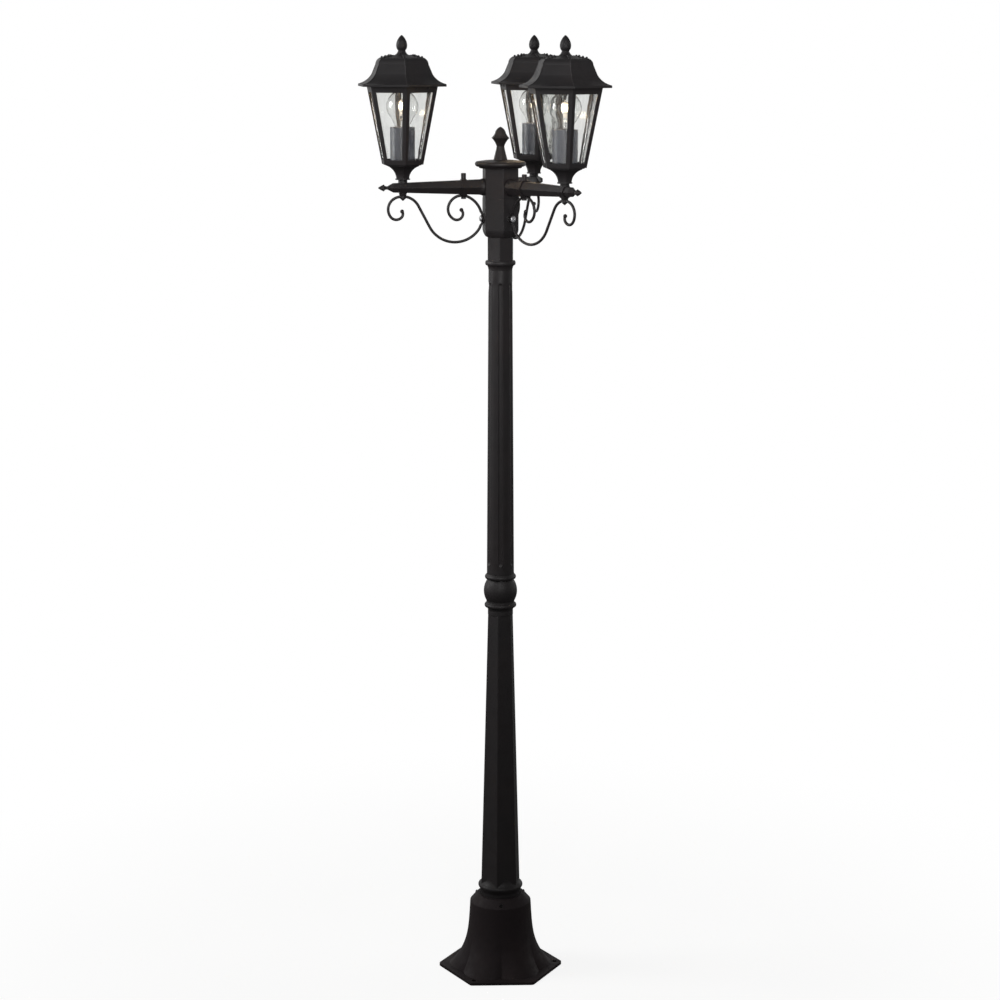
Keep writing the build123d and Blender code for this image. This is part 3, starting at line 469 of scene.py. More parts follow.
def ringMesh(name, rings, hollow=False, smooth=True):
    # skins a stack of equal rings and closes its ends; where hollow, the last ring joins the first
    sides = len(rings[0])
    faces = []
    for row in range(len(rings) if hollow else len(rings) - 1):
        low, high = row * sides, (row + 1) % len(rings) * sides
        for side in range(sides):
            other = (side + 1) % sides
            faces.append((low + side, low + other, high + other, high + side))
    if not hollow:
        last = (len(rings) - 1) * sides
        faces += [tuple(reversed(range(sides))), tuple(range(last, last + sides))]
    return tidyMesh(meshObject(name, [point for ring in rings for point in ring], faces), smooth)


def turnedPiece(name, profile, sides, place, carve=None, smooth=True):
    # spins a (radius, height) profile in millimetres round an upright axis; carve gives another radius
    rings = []
    for radius, height in profile:
        ring = []
        for angle in roundTurn(sides):
            reach = carve(radius, angle, height) if carve else radius
            ring.append(around(place, reach * mm, angle, place.z + height * mm))
        rings.append(ring)
    return ringMesh(name, rings, smooth=smooth)


def dress(thing, body, slotName, material, *nodes):
    # hands a finished piece to the frame
    thing.data.materials.clear()
    thing.data.materials.append(finish[material])
    if nodes:
        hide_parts(*nodes)
    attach(thing, body)


def joined(name, things):
    # one object out of several, with their places kept in the mesh
    work = bmesh.new()
    for thing in things:
        work.from_mesh(thing.data)
        bpy.data.objects.remove(thing)
    return fromWork(name, work)


# geometry node helpers

socketKinds = {int: "Int", float: "Float", bpy.types.Object: "Object"}


def startTree(name, sizes):
    # a geometry tree with a named input for each size, and one for its coat
    tree = bpy.data.node_groups.new(name, "GeometryNodeTree")

    def ask(label, kind, way="INPUT"):
        return tree.interface.new_socket(label, in_out=way, socket_type=f"NodeSocket{kind}")

    ask("Geometry", "Geometry")
    for label, value in sizes.items():
        ask(label, socketKinds[type(value)]).default_value = value
    ask("Coat", "Material")
    ask("Geometry", "Geometry", "OUTPUT")
    return tree, addNode(tree, "NodeGroupInput").outputs


def endTree(asked, geometry):
    real = addNode(geometry, "GeometryNodeRealizeInstances", {0: geometry})
    smooth = addNode(real, "GeometryNodeSetShadeSmooth", {"Geometry": real})
    coated = addNode(real, "GeometryNodeSetMaterial", {"Geometry": smooth, "Material": asked["Coat"]})
    return addNode(real, "NodeGroupOutput", {0: coated}).id_data


def growPiece(name, base, tree, sizes, material):
    # runs a tree on a base object and keeps what comes out as a plain mesh
    modifier = base.modifiers.new("grow", "NODES")
    modifier.node_group = tree
    values = dict(sizes, Coat=finish[material])
    for socket in tree.interface.items_tree:
        if socket.in_out == "INPUT" and socket.name in values:
            modifier[socket.identifier] = values[socket.name]
    graph = bpy.context.evaluated_depsgraph_get()
    mesh = bpy.data.meshes.new_from_object(base.evaluated_get(graph), depsgraph=graph)
    mesh.name = name
    bpy.data.objects.remove(base)
    return tidyMesh(addObject(name, mesh))


def pathBase(name, paths, closed=False):
    # loose edges for a tree to turn into curves
    vertices, edges = [], []
    for path in paths:
        first = len(vertices)
        vertices += path
        edges += [(first + step, first + step + 1) for step in range(len(path) - 1)]
        if closed:
            edges.append((first + len(path) - 1, first))
    return meshObject(name, vertices, [], edges)


def pointBase(name, places):
    # points that carry the turn and the size of what stands on them: (place, euler turn, size)
    base = meshObject(name, [place for place, turn, size in places], [])
    base.data.attributes.new("turn", "FLOAT_VECTOR", "POINT")
    base.data.attributes.new("size", "FLOAT", "POINT")
    for index, (place, turn, size) in enumerate(places):
        base.data.attributes["turn"].data[index].vector = turn
        base.data.attributes["size"].data[index].value = size
    return base


def sweepRound(curve, radius, sides):
    section = addNode(curve, "GeometryNodeCurvePrimitiveCircle", {"Resolution": sides, "Radius": radius})
    inputs = {"Curve": curve, "Profile Curve": section, "Fill Caps": True}
    return addNode(curve, "GeometryNodeCurveToMesh", inputs)


def putOnPoints(points, item, extra=None):
    inputs = {"Points": points, "Instance": item, **(extra or {})}
    return addNode(points, "GeometryNodeInstanceOnPoints", inputs)


def ballOf(radius, segments, rings):
    inputs = {"Segments": segments, "Rings": rings, "Radius": radius}
    return addNode(radius, "GeometryNodeMeshUVSphere", inputs)


def beadTree():
    # a ball at every step along each path
    tree, asked = startTree("beadRow", {"Bead radius": 1.2 * mm, "Spacing": 6.5 * mm})
    curve = addNode(tree, "GeometryNodeMeshToCurve", {"Mesh": asked["Geometry"]})
    spacing = {"Curve": curve, "Length": asked["Spacing"]}
    spaced = addNode(tree, "GeometryNodeResampleCurve", spacing, mode="LENGTH")
    ball = ballOf(asked["Bead radius"], 14, 8)
    return endTree(asked, putOnPoints(spaced, ball))


def stripTree():
    # a round strip along each path, with a ball on each end where one is asked for
    tree, asked = startTree("stripAlongPath", {"Strip radius": 1.0 * mm, "Sides": 10, "End ball": 0.0})
    curve = addNode(tree, "GeometryNodeMeshToCurve", {"Mesh": asked["Geometry"]})
    ends = addNode(tree, "GeometryNodeCurveEndpointSelection")
    balls = putOnPoints(curve, ballOf(asked["End ball"], 20, 12), {"Selection": ends})
    sizes = {"A": asked["End ball"], "B": 0.0}
    hasBall = addNode(tree, "FunctionNodeCompare", sizes, operation="GREATER_THAN")
    chosen = {"Switch": hasBall, "True": balls}
    endBalls = addNode(tree, "GeometryNodeSwitch", chosen, input_type="GEOMETRY")
    both = addNode(tree, "GeometryNodeJoinGeometry")
    for shape in (sweepRound(curve, asked["Strip radius"], asked["Sides"]), endBalls):
        feed(both.inputs[0], shape)
    return endTree(asked, both)


def coilTree():
    # a coil of wire on each point
    sizes = {"Turns": 9.0, "Coil radius": 1.1 * mm, "Coil length": 8.0 * mm, "Wire radius": 0.16 * mm}
    tree, asked = startTree("wireCoil", sizes)
    coil = addNode(
        tree, "GeometryNodeCurveSpiral",
        {"Resolution": 24, "Rotations": asked["Turns"], "Start Radius": asked["Coil radius"],
         "End Radius": asked["Coil radius"], "Height": asked["Coil length"]},
    )
    swept = sweepRound(coil, asked["Wire radius"], 8)
    return endTree(asked, putOnPoints(asked["Geometry"], swept))


def placeTree(item):
    # the item on each point, turned and sized as the point says
    tree, asked = startTree("itemsOnPoints", {"Item": item})
    shape = addNode(tree, "GeometryNodeObjectInfo", {"Object": asked["Item"]})
    turn = addNode(tree, "GeometryNodeInputNamedAttribute", {"Name": "turn"}, data_type="FLOAT_VECTOR")
    size = addNode(tree, "GeometryNodeInputNamedAttribute", {"Name": "size"}, data_type="FLOAT")
    extra = {"Rotation": turn, "Scale": size}
    return endTree(asked, putOnPoints(asked["Geometry"], shape.outputs["Geometry"], extra))


beadRow = beadTree()
stripAlongPath = stripTree()
wireCoil = coilTree()


def growStrip(name, paths, radius, sides=8, ball=0.0, closed=False, material="cast"):
    sizes = {"Strip radius": radius * mm, "Sides": sides, "End ball": ball * mm}
    return growPiece(name, pathBase(f"{name}Path", paths, closed), stripAlongPath, sizes, material)


# roof trim: ribs on the hips, a drip edge and rows of beads, as (radius, height above the eave)
roofTrim = {
    "rim": (93.3, 4.2),
    "flare": ((76.5, 11.2), (64.0, 24.0)),
    "sideTop": (55.6, 43.0),
    "shoulder": ((52.4, 50.4), (46.4, 54.2)),
    "crown": (31.0, 57.6),
    "crownTop": (21.0, 60.0),
    "ribRadius": 1.15,
    "ribSink": 0.45,
    "crownBead": 2.35,
    "crownLift": 0.35,  # height of the bead's centre above the crown, as a share of its radius
    "crownBeadPlaces": (27.5, 35.0, 42.5),
    "shoulderBead": 1.25,
    "shoulderSpacing": 6.6,
    "shoulderOut": 1.2,
    "shoulderDrop": 0.6,
    "dripRadius": 1.1,
    "dripInset": 1.3,
}


def ballItem(name, radius, segments=18, rings=12):
    work = bmesh.new()
    bmesh.ops.create_uvsphere(work, u_segments=segments, v_segments=rings, radius=radius)
    return fromWork(name, work)


def crownHeight(reach, look):
    # height of the crown's slope at a radius
    inner, outer = look["crown"], look["shoulder"][1]
    if reach < inner[0]:
        inner, outer = look["crownTop"], look["crown"]
    return inner[1] + (outer[1] - inner[1]) * (reach - inner[0]) / (outer[0] - inner[0])


def makeRoofTrim(number, look):
    middle = lanternPlace(number)
    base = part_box(f"lantern_roof_{number}")[0].z
    corners = [radians(30 + 60 * side) for side in range(6)]

    def toFlat(point):
        return (point[0] * flat, point[1])

    def cornerRing(radius, height):
        return [around(middle, radius * mm, angle, base + height * mm) for angle in corners]

    flare, shoulder = (tuple(toFlat(point) for point in look[name]) for name in ("flare", "shoulder"))
    rim, sideTop, crown, crownTop = (toFlat(look[name]) for name in ("rim", "sideTop", "crown", "crownTop"))
    hipLine = profileOf(rim, flare, sideTop, shoulder, crown, crownTop, fine=8)
    sink = look["ribSink"]
    hipLine = [((reach / flat - sink) * mm, base + (height - sink) * mm) for reach, height in hipLine]
    ribs = [[around(middle, reach, angle, height) for reach, height in hipLine] for angle in corners]
    rimReach, rimTop = look["rim"]
    drip = cornerRing(rimReach - look["dripInset"], rimTop)
    ledgeReach, ledgeTop = look["shoulder"][1]
    ledge = cornerRing(ledgeReach + look["shoulderOut"], ledgeTop - look["shoulderDrop"])
    sizes = {"Bead radius": look["shoulderBead"] * mm, "Spacing": look["shoulderSpacing"] * mm}
    crownPoints = []
    for reach in look["crownBeadPlaces"]:
        crownPoints += cornerRing(reach, crownHeight(reach, look) + look["crownBead"] * look["crownLift"])
    crownBase = pointBase("crownPoints", [(place, (0, 0, 0), 1.0) for place in crownPoints])
    parts = [
        growStrip(f"roofRibs_{number}", ribs, look["ribRadius"]),
        growStrip(f"roofDrip_{number}", [drip], look["dripRadius"], closed=True),
        growPiece(f"roofBeads_{number}", pathBase("beadPath", [ledge], closed=True), beadRow, sizes, "cast"),
        growPiece(f"crownBeads_{number}", crownBase, crownBall, {"Item": crownPattern}, "cast"),
    ]
    dress(joined(f"roofTrim_{number}", parts), f"roof_{number}", "black_coat", "roof")


# roof finials: scalloped foot, neck and a bud of overlapping leaves
budLook = {
    "foot": 13.0,
    "footInside": 7.8,
    "footEdge": 0.5,
    "footRound": (0.1, 1.2),  # drawn in by, at this height
    "ankle": ((9.6, 3.4), (7.0, 8.6)),
    "low": ((10.0, 12.8), (11.0, 18.6)),
    "high": ((8.9, 27.8), (0.8, 38.0)),
    "sides": 96,
    "leaves": 6,
    "rows": 4,
    "overlap": 1.9,
    "leafDepth": 1.5,
    "leafHalf": 0.56,  # half width as a share of the turn for one leaf
    "leafPoint": 1.6,
    "leafRib": 0.22,
    "ribWidth": 0.05,
    "leafCrest": 0.12,
    "leafHollow": 0.55,
    "fadeLow": 0.08,
    "fadeHigh": 0.10,
    "fullRadius": 5.0,
    "scallops": 12,
    "scallopDepth": 1.5,
    "scallopHeight": 5.0,
}


def leafRelief(angle, share, look):
    # near 0 on a leaf's crest, 1 in the gaps; lower leaves lie over the ones above
    for row in range(-1, look["rows"]):
        climb = share * look["rows"] - row
        if not 0 <= climb <= look["overlap"]:
            continue
        turn = (angle / tau * look["leaves"] + 0.5 * row) % 1.0 - 0.5
        half = look["leafHalf"] * sqrt(max(0.0, 1 - (climb / look["overlap"]) ** look["leafPoint"]))
        if abs(turn) < half:
            rib = look["leafRib"] * exp(-((turn / look["ribWidth"]) ** 2))
            return look["leafCrest"] + look["leafHollow"] * (abs(turn) / half) ** 3 + rib
    return 1.0


def makeRoofBud(number, look):
    place = lanternPlace(number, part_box(f"lantern_roof_{number}")[1].z)
    foot, footEdge = look["foot"], look["footEdge"]
    drawn, drawnHeight = look["footRound"]
    lower = profileOf((foot, 0.0), look["ankle"], fine=12)
    upper = profileOf(lower[-1], look["low"], look["high"], fine=24)[1:]
    whole = [(look["footInside"], 0.0), (foot - footEdge, 0.0), (foot, footEdge), (foot - drawn, drawnHeight)]
    whole += lower[2:] + upper
    budLow, budHigh = look["ankle"][1][1], look["high"][1][1]

    def carve(radius, angle, height):
        if height <= budLow:
            near = max(0.0, 1 - height / look["scallopHeight"])
            wave = 0.5 - 0.5 * cos(look["scallops"] * angle)
            return radius - look["scallopDepth"] * near * wave
        share = (height - budLow) / (budHigh - budLow)
        fade = min(1.0, share / look["fadeLow"]) * min(1.0, (1 - share) / look["fadeHigh"])
        fade *= min(1.0, radius / look["fullRadius"])
        return radius - look["leafDepth"] * fade * leafRelief(angle, share, look)

    bud = turnedPiece(f"roofBud_{number}", whole, look["sides"], place, carve)
    dress(bud, f"roof_{number}", "black_coat", "roof", f"roof_finial_{number}")


# arm tips: a six-sided spear on a drawn-in neck, as (radius, distance from the post's axis)
spearLook = {
    "pegEnd": 0.3,
    "peg": (2.2, 214.4),
    "seat": (3.7, 223.55),
    "seatRound": (0.1, 1.0),
    "neck": ((3.2, 227.0), (6.9, 232.3)),
    "point": ((4.5, 237.4), (1.0, 243.4)),
    "fine": 7,
}


def makeSpear(number, look):
    low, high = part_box(f"arm_tip_{number}")
    pegRadius, pegStart = look["peg"]
    seatRadius, seat = look["seat"]
    drawn, along = look["seatRound"]
    line = [(look["pegEnd"], pegStart), look["peg"], (pegRadius, seat), look["seat"]]
    line.append((seatRadius - drawn, seat + along))
    line += profileOf(line[-1], look["neck"], look["point"], fine=look["fine"])[1:]
    spear = turnedPiece(f"spearTip_{number}", line, 6, Vector(), smooth=False)
    lay = Matrix.Rotation(armAngles[number], 4, "Z") @ Matrix.Rotation(radians(90), 4, "Y")
    spear.data.transform(Matrix.Translation((0, 0, (low.z + high.z) / 2)) @ lay)
    dress(spear, "post", "black_coat", "cast", f"arm_tip_{number}")


# window beads: a slim round moulding inside each window's reveal
glazingLook = {
    "beadRadius": 1.0,
    "setBack": 1.1,
    "inset": 0.5,
    "lowRail": 8.4,
    "topRail": 15.0,
    "lowPost": 6.4,
    "topPost": 7.8,
    "lowRadius": 44.2,
    "topRadius": 76.4,
}


def makeGlazing(number, look):
    middle = lanternPlace(number)
    low, high = (corner.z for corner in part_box(f"lantern_cage_{number}"))
    widening = (look["topRadius"] - look["lowRadius"]) * mm / (high - low)

    def railEnds(angle, height, post, lift):
        # the two ends of a window's lower or upper edge
        out, along = sideways(angle)
        radius = look["lowRadius"] * mm + widening * (height - low)
        half = radius / 2 - (post + look["inset"]) * mm
        centre = middle + Vector((0, 0, height + lift * mm)) + out * (radius * flat - look["setBack"] * mm)
        return [centre - along * half, centre + along * half]

    loops = []
    for side in range(6):
        angle = radians(60 * side)
        lower = railEnds(angle, low + look["lowRail"] * mm, look["lowPost"], look["inset"])
        upper = railEnds(angle, high - look["topRail"] * mm, look["topPost"], -look["inset"])
        loops.append(lower + upper[::-1])
    beads = growStrip(f"windowBeads_{number}", loops, look["beadRadius"], closed=True)
    dress(beads, "post", "black_coat", "cast")


# scroll rods: the bends of the outline as (radius, degrees), from the eye at the hub
scrollLook = {
    "inner": ((47.0, 68.5), (28.0, 95.5), (23.0, 74.5), (12.5, 98.0), (11.0, 68.0)),
    "outerIn": ((39.7, 39.6), (57.8, 112.4)),
    "outerRun": 47.2,
    "outerCurl": ((35.5, 85.0), (24.5, 102.0), (14.3, 102.0), (9.5, 76.0)),
    "start": 37.255,
    "screwDrop": 40.0,
    "rodRadius": 2.8,
    "endBall": 4.0,
    "sides": 18,
    "stepLength": 1.6,
    "eyeRadius": 7.5,
    "eyeHalf": 1.7,
    "eyeHole": 2.65,
    "eyeEdge": 0.6,
    "eyeSides": 40,
    "hammer": 5.5,
    "hammerReach": 12.0,
}


def bendPoints(start, heading, bends, step):
    # a bend is (radius, signed degrees), a run is (0, length)
    here, points = Vector(start), []
    heading = Vector(heading)
    for radius, amount in bends:
        if radius == 0:
            count = max(1, round(amount / step))
            points += [here + heading * amount * part / count for part in range(1, count + 1)]
            here = points[-1]
            continue
        side = 1 if amount > 0 else -1
        centre = here + Vector((-heading.y, heading.x)) * radius * side
        spoke = here - centre
        count = max(2, round(abs(radians(amount)) * radius / step))
        for part in range(1, count + 1):
            points.append(centre + Matrix.Rotation(radians(amount) * part / count, 2) @ spoke)
        heading = Matrix.Rotation(radians(amount), 2) @ heading
        here = points[-1]
    return points


def rodLine(start, look):
    # the rod's middle line, in millimetres, from the inner curl past the eye to the outer curl
    def turnedBack(bends):
        return [(radius, -turn) for radius, turn in bends]

    inner = bendPoints(start, (0, 1), turnedBack(look["inner"]), look["stepLength"])
    bends = list(look["outerIn"]) + [(0, look["outerRun"])] + turnedBack(look["outerCurl"])
    return inner[::-1] + [Vector(start)] + bendPoints(start, (0, -1), bends, look["stepLength"])


def hammerEye(rod, line, spin, eye, look):
    # the rod is hammered flat and wide where it goes round the screw
    back = spin.inverted()
    reach = look["eyeRadius"] + look["hammer"]
    for vertex in rod.data.vertices:
        local = back @ vertex.co
        away = hypot(local.y, local.z - eye.z) / mm
        if abs(local.x - eye.x) > look["hammerReach"] * mm or away > reach:
            continue
        share = min(1.0, max(0.0, (reach - away) / look["hammer"]))
        ease = share * share * (3 - 2 * share)
        squeeze = 1 - ease * (1 - look["eyeHalf"] / look["rodRadius"])
        middleX = nearestX(line, local.z / mm, look["start"]) * mm
        local.x = eye.x * ease + middleX * (1 - ease) + (local.x - middleX) * squeeze
        vertex.co = spin @ local


def nearestX(line, height, start):
    # the line's distance out at a height; of its branches, the one near the eye wins
    branchShare = 0.02
    return min(line, key=lambda point: abs(point.y - height) + branchShare * abs(point.x - start)).x


def eyeDisc(number, look, spin, eye):
    # round flattened eye with eased edges and the screw's hole
    half, edge, hole, radius = look["eyeHalf"], look["eyeEdge"], look["eyeHole"], look["eyeRadius"]
    profile = [(hole, -half), (radius - edge, -half), (radius, -half + edge), (radius, half - edge),
               (radius - edge, half), (hole, half)]
    rings = []
    for reach, depth in profile:
        rings.append([
            spin @ (eye + Vector((depth, reach * cos(angle), reach * sin(angle))) * mm)
            for angle in roundTurn(look["eyeSides"])
        ])
    return ringMesh(f"scrollEye_{number}", rings, hollow=True)


def makeScroll(number, look):
    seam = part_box("hub_upper")[0].z / mm
    start = (look["start"], seam - look["screwDrop"])
    line = rodLine(start, look)
    spin = Matrix.Rotation(armAngles[number], 3, "Z")
    path = [spin @ Vector((point.x * mm, 0, point.y * mm)) for point in line]
    rod = growStrip(
        f"scrollRod_{number}", [path], look["rodRadius"], look["sides"], look["endBall"], material="rod",
    )
    eye = Vector((start[0] * mm, 0, start[1] * mm))
    hammerEye(rod, line, spin, eye, look)
    iron = joined(f"scrollIron_{number}", [rod, eyeDisc(number, look, spin, eye)])
    dress(iron, "post", "black_tube", "rod", f"scroll_{number}")


# domed screws with a hexagon key recess
screwLook = {
    "headRadius": 6.0,
    "headHeight": 3.8,
    "edge": 0.8,
    "footRound": (0.15, 0.2),
    "domeSteps": 8,
    "domeStep": 8,  # degrees
    "keyRadius": 2.1,
    "keyDepth": 1.7,
    "keyLead": (1.06, 70, 0.25),  # size share, degrees up the dome, depth
    "keyPoint": (0.1, 0.35),
    "sides": 48,
}
railLook = {
    "faceTurn": 120.0,
    "drop": 7.5,
    "spacing": 30.0,
    "cageHeight": 155.5,
    "headShare": 0.43,
    "sink": 0.1,
}


def screwItem(name, look):
    # stands on the origin and points along +Z
    radius, height, edge = look["headRadius"], look["headHeight"], look["edge"]
    drawn, footHeight = look["footRound"]
    leadShare, leadTurn, leadDepth = look["keyLead"]
    pointShare, pointDepth = look["keyPoint"]

    def keyRadius(angle):
        return look["keyRadius"] * flat / cos((angle % radians(60)) - radians(30))

    turns = [radians(look["domeStep"] * step) for step in range(look["domeSteps"] + 1)]
    rows = [(radius * 0.5, 0.0), (radius - drawn, 0.0), (radius, footHeight)]
    rows += [(radius * cos(turn), edge + (height - edge) * sin(turn)) for turn in turns]
    keyTop = edge + (height - edge) * sin(radians(leadTurn))
    keyRows = [(leadShare, keyTop), (1.0, keyTop - leadDepth), (1.0, height - look["keyDepth"]),
               (pointShare, height - (look["keyDepth"] + pointDepth))]
    angles = roundTurn(look["sides"])
    rings = [[around((0, 0), reach * mm, angle, level * mm) for angle in angles] for reach, level in rows]
    for share, level in keyRows:
        rings.append([around((0, 0), share * keyRadius(angle) * mm, angle, level * mm) for angle in angles])
    return ringMesh(name, rings)


def outwardTurn(direction):
    return Vector(direction).to_track_quat("Z", "Y").to_euler()


def makeScrews(look, scroll, glazing, rail):
    item = screwItem("screwPattern", look)
    tree = placeTree(item)

    def putHeads(name, places, material, node):
        heads = growPiece(name, pointBase("screwPoints", places), tree, {"Item": item}, material)
        dress(heads, "post", "black_coat", material, node)

    seat = (scroll["start"] + scroll["eyeHalf"]) * mm
    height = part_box("hub_upper")[0].z - scroll["screwDrop"] * mm
    places = []
    for angle in armAngles.values():
        out = sideways(angle)[0]
        places.append((out * seat + Vector((0, 0, height)), outwardTurn(out), 1.0))
    putHeads("scrollScrewHeads", places, "screw", "scroll_screws")

    widening = (glazing["topRadius"] - glazing["lowRadius"]) / rail["cageHeight"]
    lean = atan(widening * flat)
    radius = (glazing["topRadius"] - widening * rail["drop"]) * mm
    places = []
    for number, angle in armAngles.items():
        out, along = sideways(angle + radians(rail["faceTurn"]))
        normal = out * cos(lean) - Vector((0, 0, sin(lean)))
        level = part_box(f"lantern_cage_{number}")[1].z - rail["drop"] * mm
        middle = lanternPlace(number, level) + out * radius * flat
        for side in (-1, 1):
            place = middle + along * side * rail["spacing"] / 2 * mm - normal * rail["sink"] * mm
            places.append((place, outwardTurn(normal), rail["headShare"]))
    putHeads("railScrewHeads", places, "rod", "rail_screws")
    bpy.data.objects.remove(item)


# lamps: threaded cap, glass stem, lead wires and a capsule with its coil
lampLook = {
    "capRadius": 13.2,
    "capCore": 1.0,
    "capContact": 5.0,
    "capTaper": (6.5, 2.0),
    "capShell": 6.0,
    "capHeight": 26.0,
    "capEdge": 0.5,
    "capLip": 1.2,
    "capPlain": 2.5,  # smooth band above the thread
    "contactRound": 0.6,
    "threadDepth": 0.75,
    "threadPitch": 3.6,
    "threadStep": 0.3,
    "capSides": 48,
    "stemFoot": (9.0, 0.3),
    "stemTop": 3.2,
    "stemHeight": 24.0,
    "stemSweep": (4.2, 7.0),
    "stemNeck": (6.0, 2.0),  # where it is drawn in and where its shoulder begins, below its height
    "stemShoulder": ((2.4, 23.5), (0.3, 24.0)),
    "stemSides": 32,
    "capsuleRadius": 6.2,
    "capsuleLow": 40.0,
    "capsuleLength": 24.0,
    "capsuleNeck": ((1.5, 0.6, 1.6), 3.5),  # level, narrower across and deep by; level of the full tube
    "capsuleSides": 32,
    "tubeSteps": 8,
    "domeTurns": (12, 24, 36, 48, 60, 72),  # degrees
    "pinchHalf": (4.3, 1.3),
    "pinchDrop": 7.3,
    "pinchTop": -1.0,
    "pinchEdge": (0.5, 0.4, 0.3),
    "pip": ((0.1, 0.9), (0.0, 0.3)),  # (below the top, radius)
    "leadRadius": 0.45,
    "leadHalf": 3.0,
    "leadBow": 2.6,
    "leadFoot": 0.55,  # share of leadHalf at the stem
    "leadSink": (5.0, 2.0),  # into the stem, into the pinch
    "leadSteps": 12,
    "leadSides": 10,
    "coilTurns": 9.0,
    "coilRadius": 1.3,
    "coilLength": 9.0,
    "coilWire": 0.22,
    "glowHalf": 9.5,
}


def makeLamp(number, look):
    foot = lanternPlace(number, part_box(f"lamp_cap_{number}")[0].z)
    base = foot + Vector((0, 0, look["capHeight"] * mm))
    low = base + Vector((0, 0, look["capsuleLow"] * mm))
    body = f"bulb_{number}"
    dress(lampCap(number, look, foot), body, "lamp_cap", "cap", f"lamp_cap_{number}")
    dress(bulbStem(number, look, base), body, "bulb_glass", "bulb")
    dress(leadWires(number, look, base, low), body, "lamp_cap", "wire")
    dress(litCapsule(number, look, low), body, "burner", "quartz", f"lamp_burner_{number}")


def lampCap(number, look, place):
    radius, height, shell = look["capRadius"], look["capHeight"], look["capShell"]
    contact, edge, step = look["capContact"], look["capEdge"], look["threadStep"]
    core = look["capCore"]

    def thread(reach, angle, level):
        if level < shell or level > height - look["capPlain"]:
            return reach
        wave = 0.5 - 0.5 * cos(tau * (level / look["threadPitch"] - angle / tau))
        return reach - look["threadDepth"] * wave

    levels = [shell + step * count for count in range(int((height - shell) / step) + 1)]
    profile = [(core, 0.0), (contact - look["contactRound"], 0.0), (contact, edge), look["capTaper"]]
    profile += [(radius - edge, shell - edge)] + [(radius, level) for level in levels]
    profile += [(radius, height), (radius - look["capLip"], height), (core, height)]
    return turnedPiece(f"lampThread_{number}", profile, look["capSides"], place, thread)


def bulbStem(number, look, place):
    drawn, shoulder = ((look["stemTop"], look["stemHeight"] - below) for below in look["stemNeck"])
    stem = profileOf(look["stemFoot"], (look["stemSweep"], drawn), shoulder, look["stemShoulder"])
    return turnedPiece(f"bulbStem_{number}", stem, look["stemSides"], place)


def leadWires(number, look, base, low):
    # two leads bow out from the stem to the capsule's pinch
    stemSink, pinchSink = look["leadSink"]
    foot = base.z + (look["stemHeight"] - stemSink) * mm
    head = low.z - (look["pinchDrop"] - pinchSink) * mm
    wires = []
    for side in (-1, 1):
        lead = []
        for step in range(look["leadSteps"] + 1):
            share = step / look["leadSteps"]
            spread = look["leadHalf"] * (look["leadFoot"] + (1 - look["leadFoot"]) * share)
            bow = sin(pi * share) * look["leadBow"]
            height = foot * (1 - share) + head * share
            lead.append(Vector((base.x + side * (spread + bow) * mm, base.y, height)))
        wires.append(lead)
    return growStrip(f"leadWires_{number}", wires, look["leadRadius"], look["leadSides"], material="wire")


def litCapsule(number, look, place):
    # capsule and coil in one piece, with the glow that its material reads
    x, y, low = place
    centre = low + (look["capsuleLength"] / 2) * mm
    coilBase = pointBase("coilPoint", [((x, y, centre - look["coilLength"] / 2 * mm), (0, 0, 0), 1.0)])
    sizes = {
        "Turns": look["coilTurns"], "Coil radius": look["coilRadius"] * mm,
        "Coil length": look["coilLength"] * mm, "Wire radius": look["coilWire"] * mm,
    }
    capsule = capsuleShell(number, look, place)
    coil = growPiece(f"filament_{number}", coilBase, wireCoil, sizes, "quartz")
    lit = joined(f"litCapsule_{number}", [capsule, coil])
    glow = lit.data.attributes.new("filamentGlow", "FLOAT", "POINT")
    for vertex, value in zip(lit.data.vertices, glow.data):
        away = abs(vertex.co.z - centre) / (look["glowHalf"] * mm)
        value.value = max(0.0, 1 - away * away)
    return lit


def capsuleShell(number, look, place):
    # round tube that runs into a flat pinch below and a pip above
    radius, length, drop = look["capsuleRadius"], look["capsuleLength"], look["pinchDrop"]
    wide, thin = look["pinchHalf"]
    pinchEdge, acrossCut, deepCut = look["pinchEdge"]
    (neck, acrossLess, deepLess), full = look["capsuleNeck"]
    top, steps = length - radius, look["tubeSteps"]
    rows = [  # level, half across, half deep
        (-drop, wide - acrossCut, thin - deepCut), (-drop + pinchEdge, wide, thin),
        (look["pinchTop"], wide, thin), (neck, radius - acrossLess, radius - deepLess),
    ]
    rows += [(full + (top - full) * step / steps, radius, radius) for step in range(steps + 1)]
    for turn in map(radians, look["domeTurns"]):
        rows.append((top + radius * sin(turn), radius * cos(turn), radius * cos(turn)))
    rows += [(length - below, pipRadius, pipRadius) for below, pipRadius in look["pip"]]
    x, y, z = place
    rings = []
    for level, across, deep in sorted(rows):
        rings.append([
            (x + across * mm * cos(angle), y + deep * mm * sin(angle), z + level * mm)
            for angle in roundTurn(look["capsuleSides"])
        ])
    return ringMesh(f"capsule_{number}", rings)


crownPattern = ballItem("crownPattern", roofTrim["crownBead"] * mm)
crownBall = placeTree(crownPattern)
for number in armAngles:
    makeRoofTrim(number, roofTrim)
    makeRoofBud(number, budLook)
    makeSpear(number, spearLook)
    makeGlazing(number, glazingLook)
    makeScroll(number, scrollLook)
    makeLamp(number, lampLook)
    print("lantern", number, "made")
bpy.data.objects.remove(crownPattern)
makeScrews(screwLook, scrollLook, glazingLook, railLook)
print("screws made")


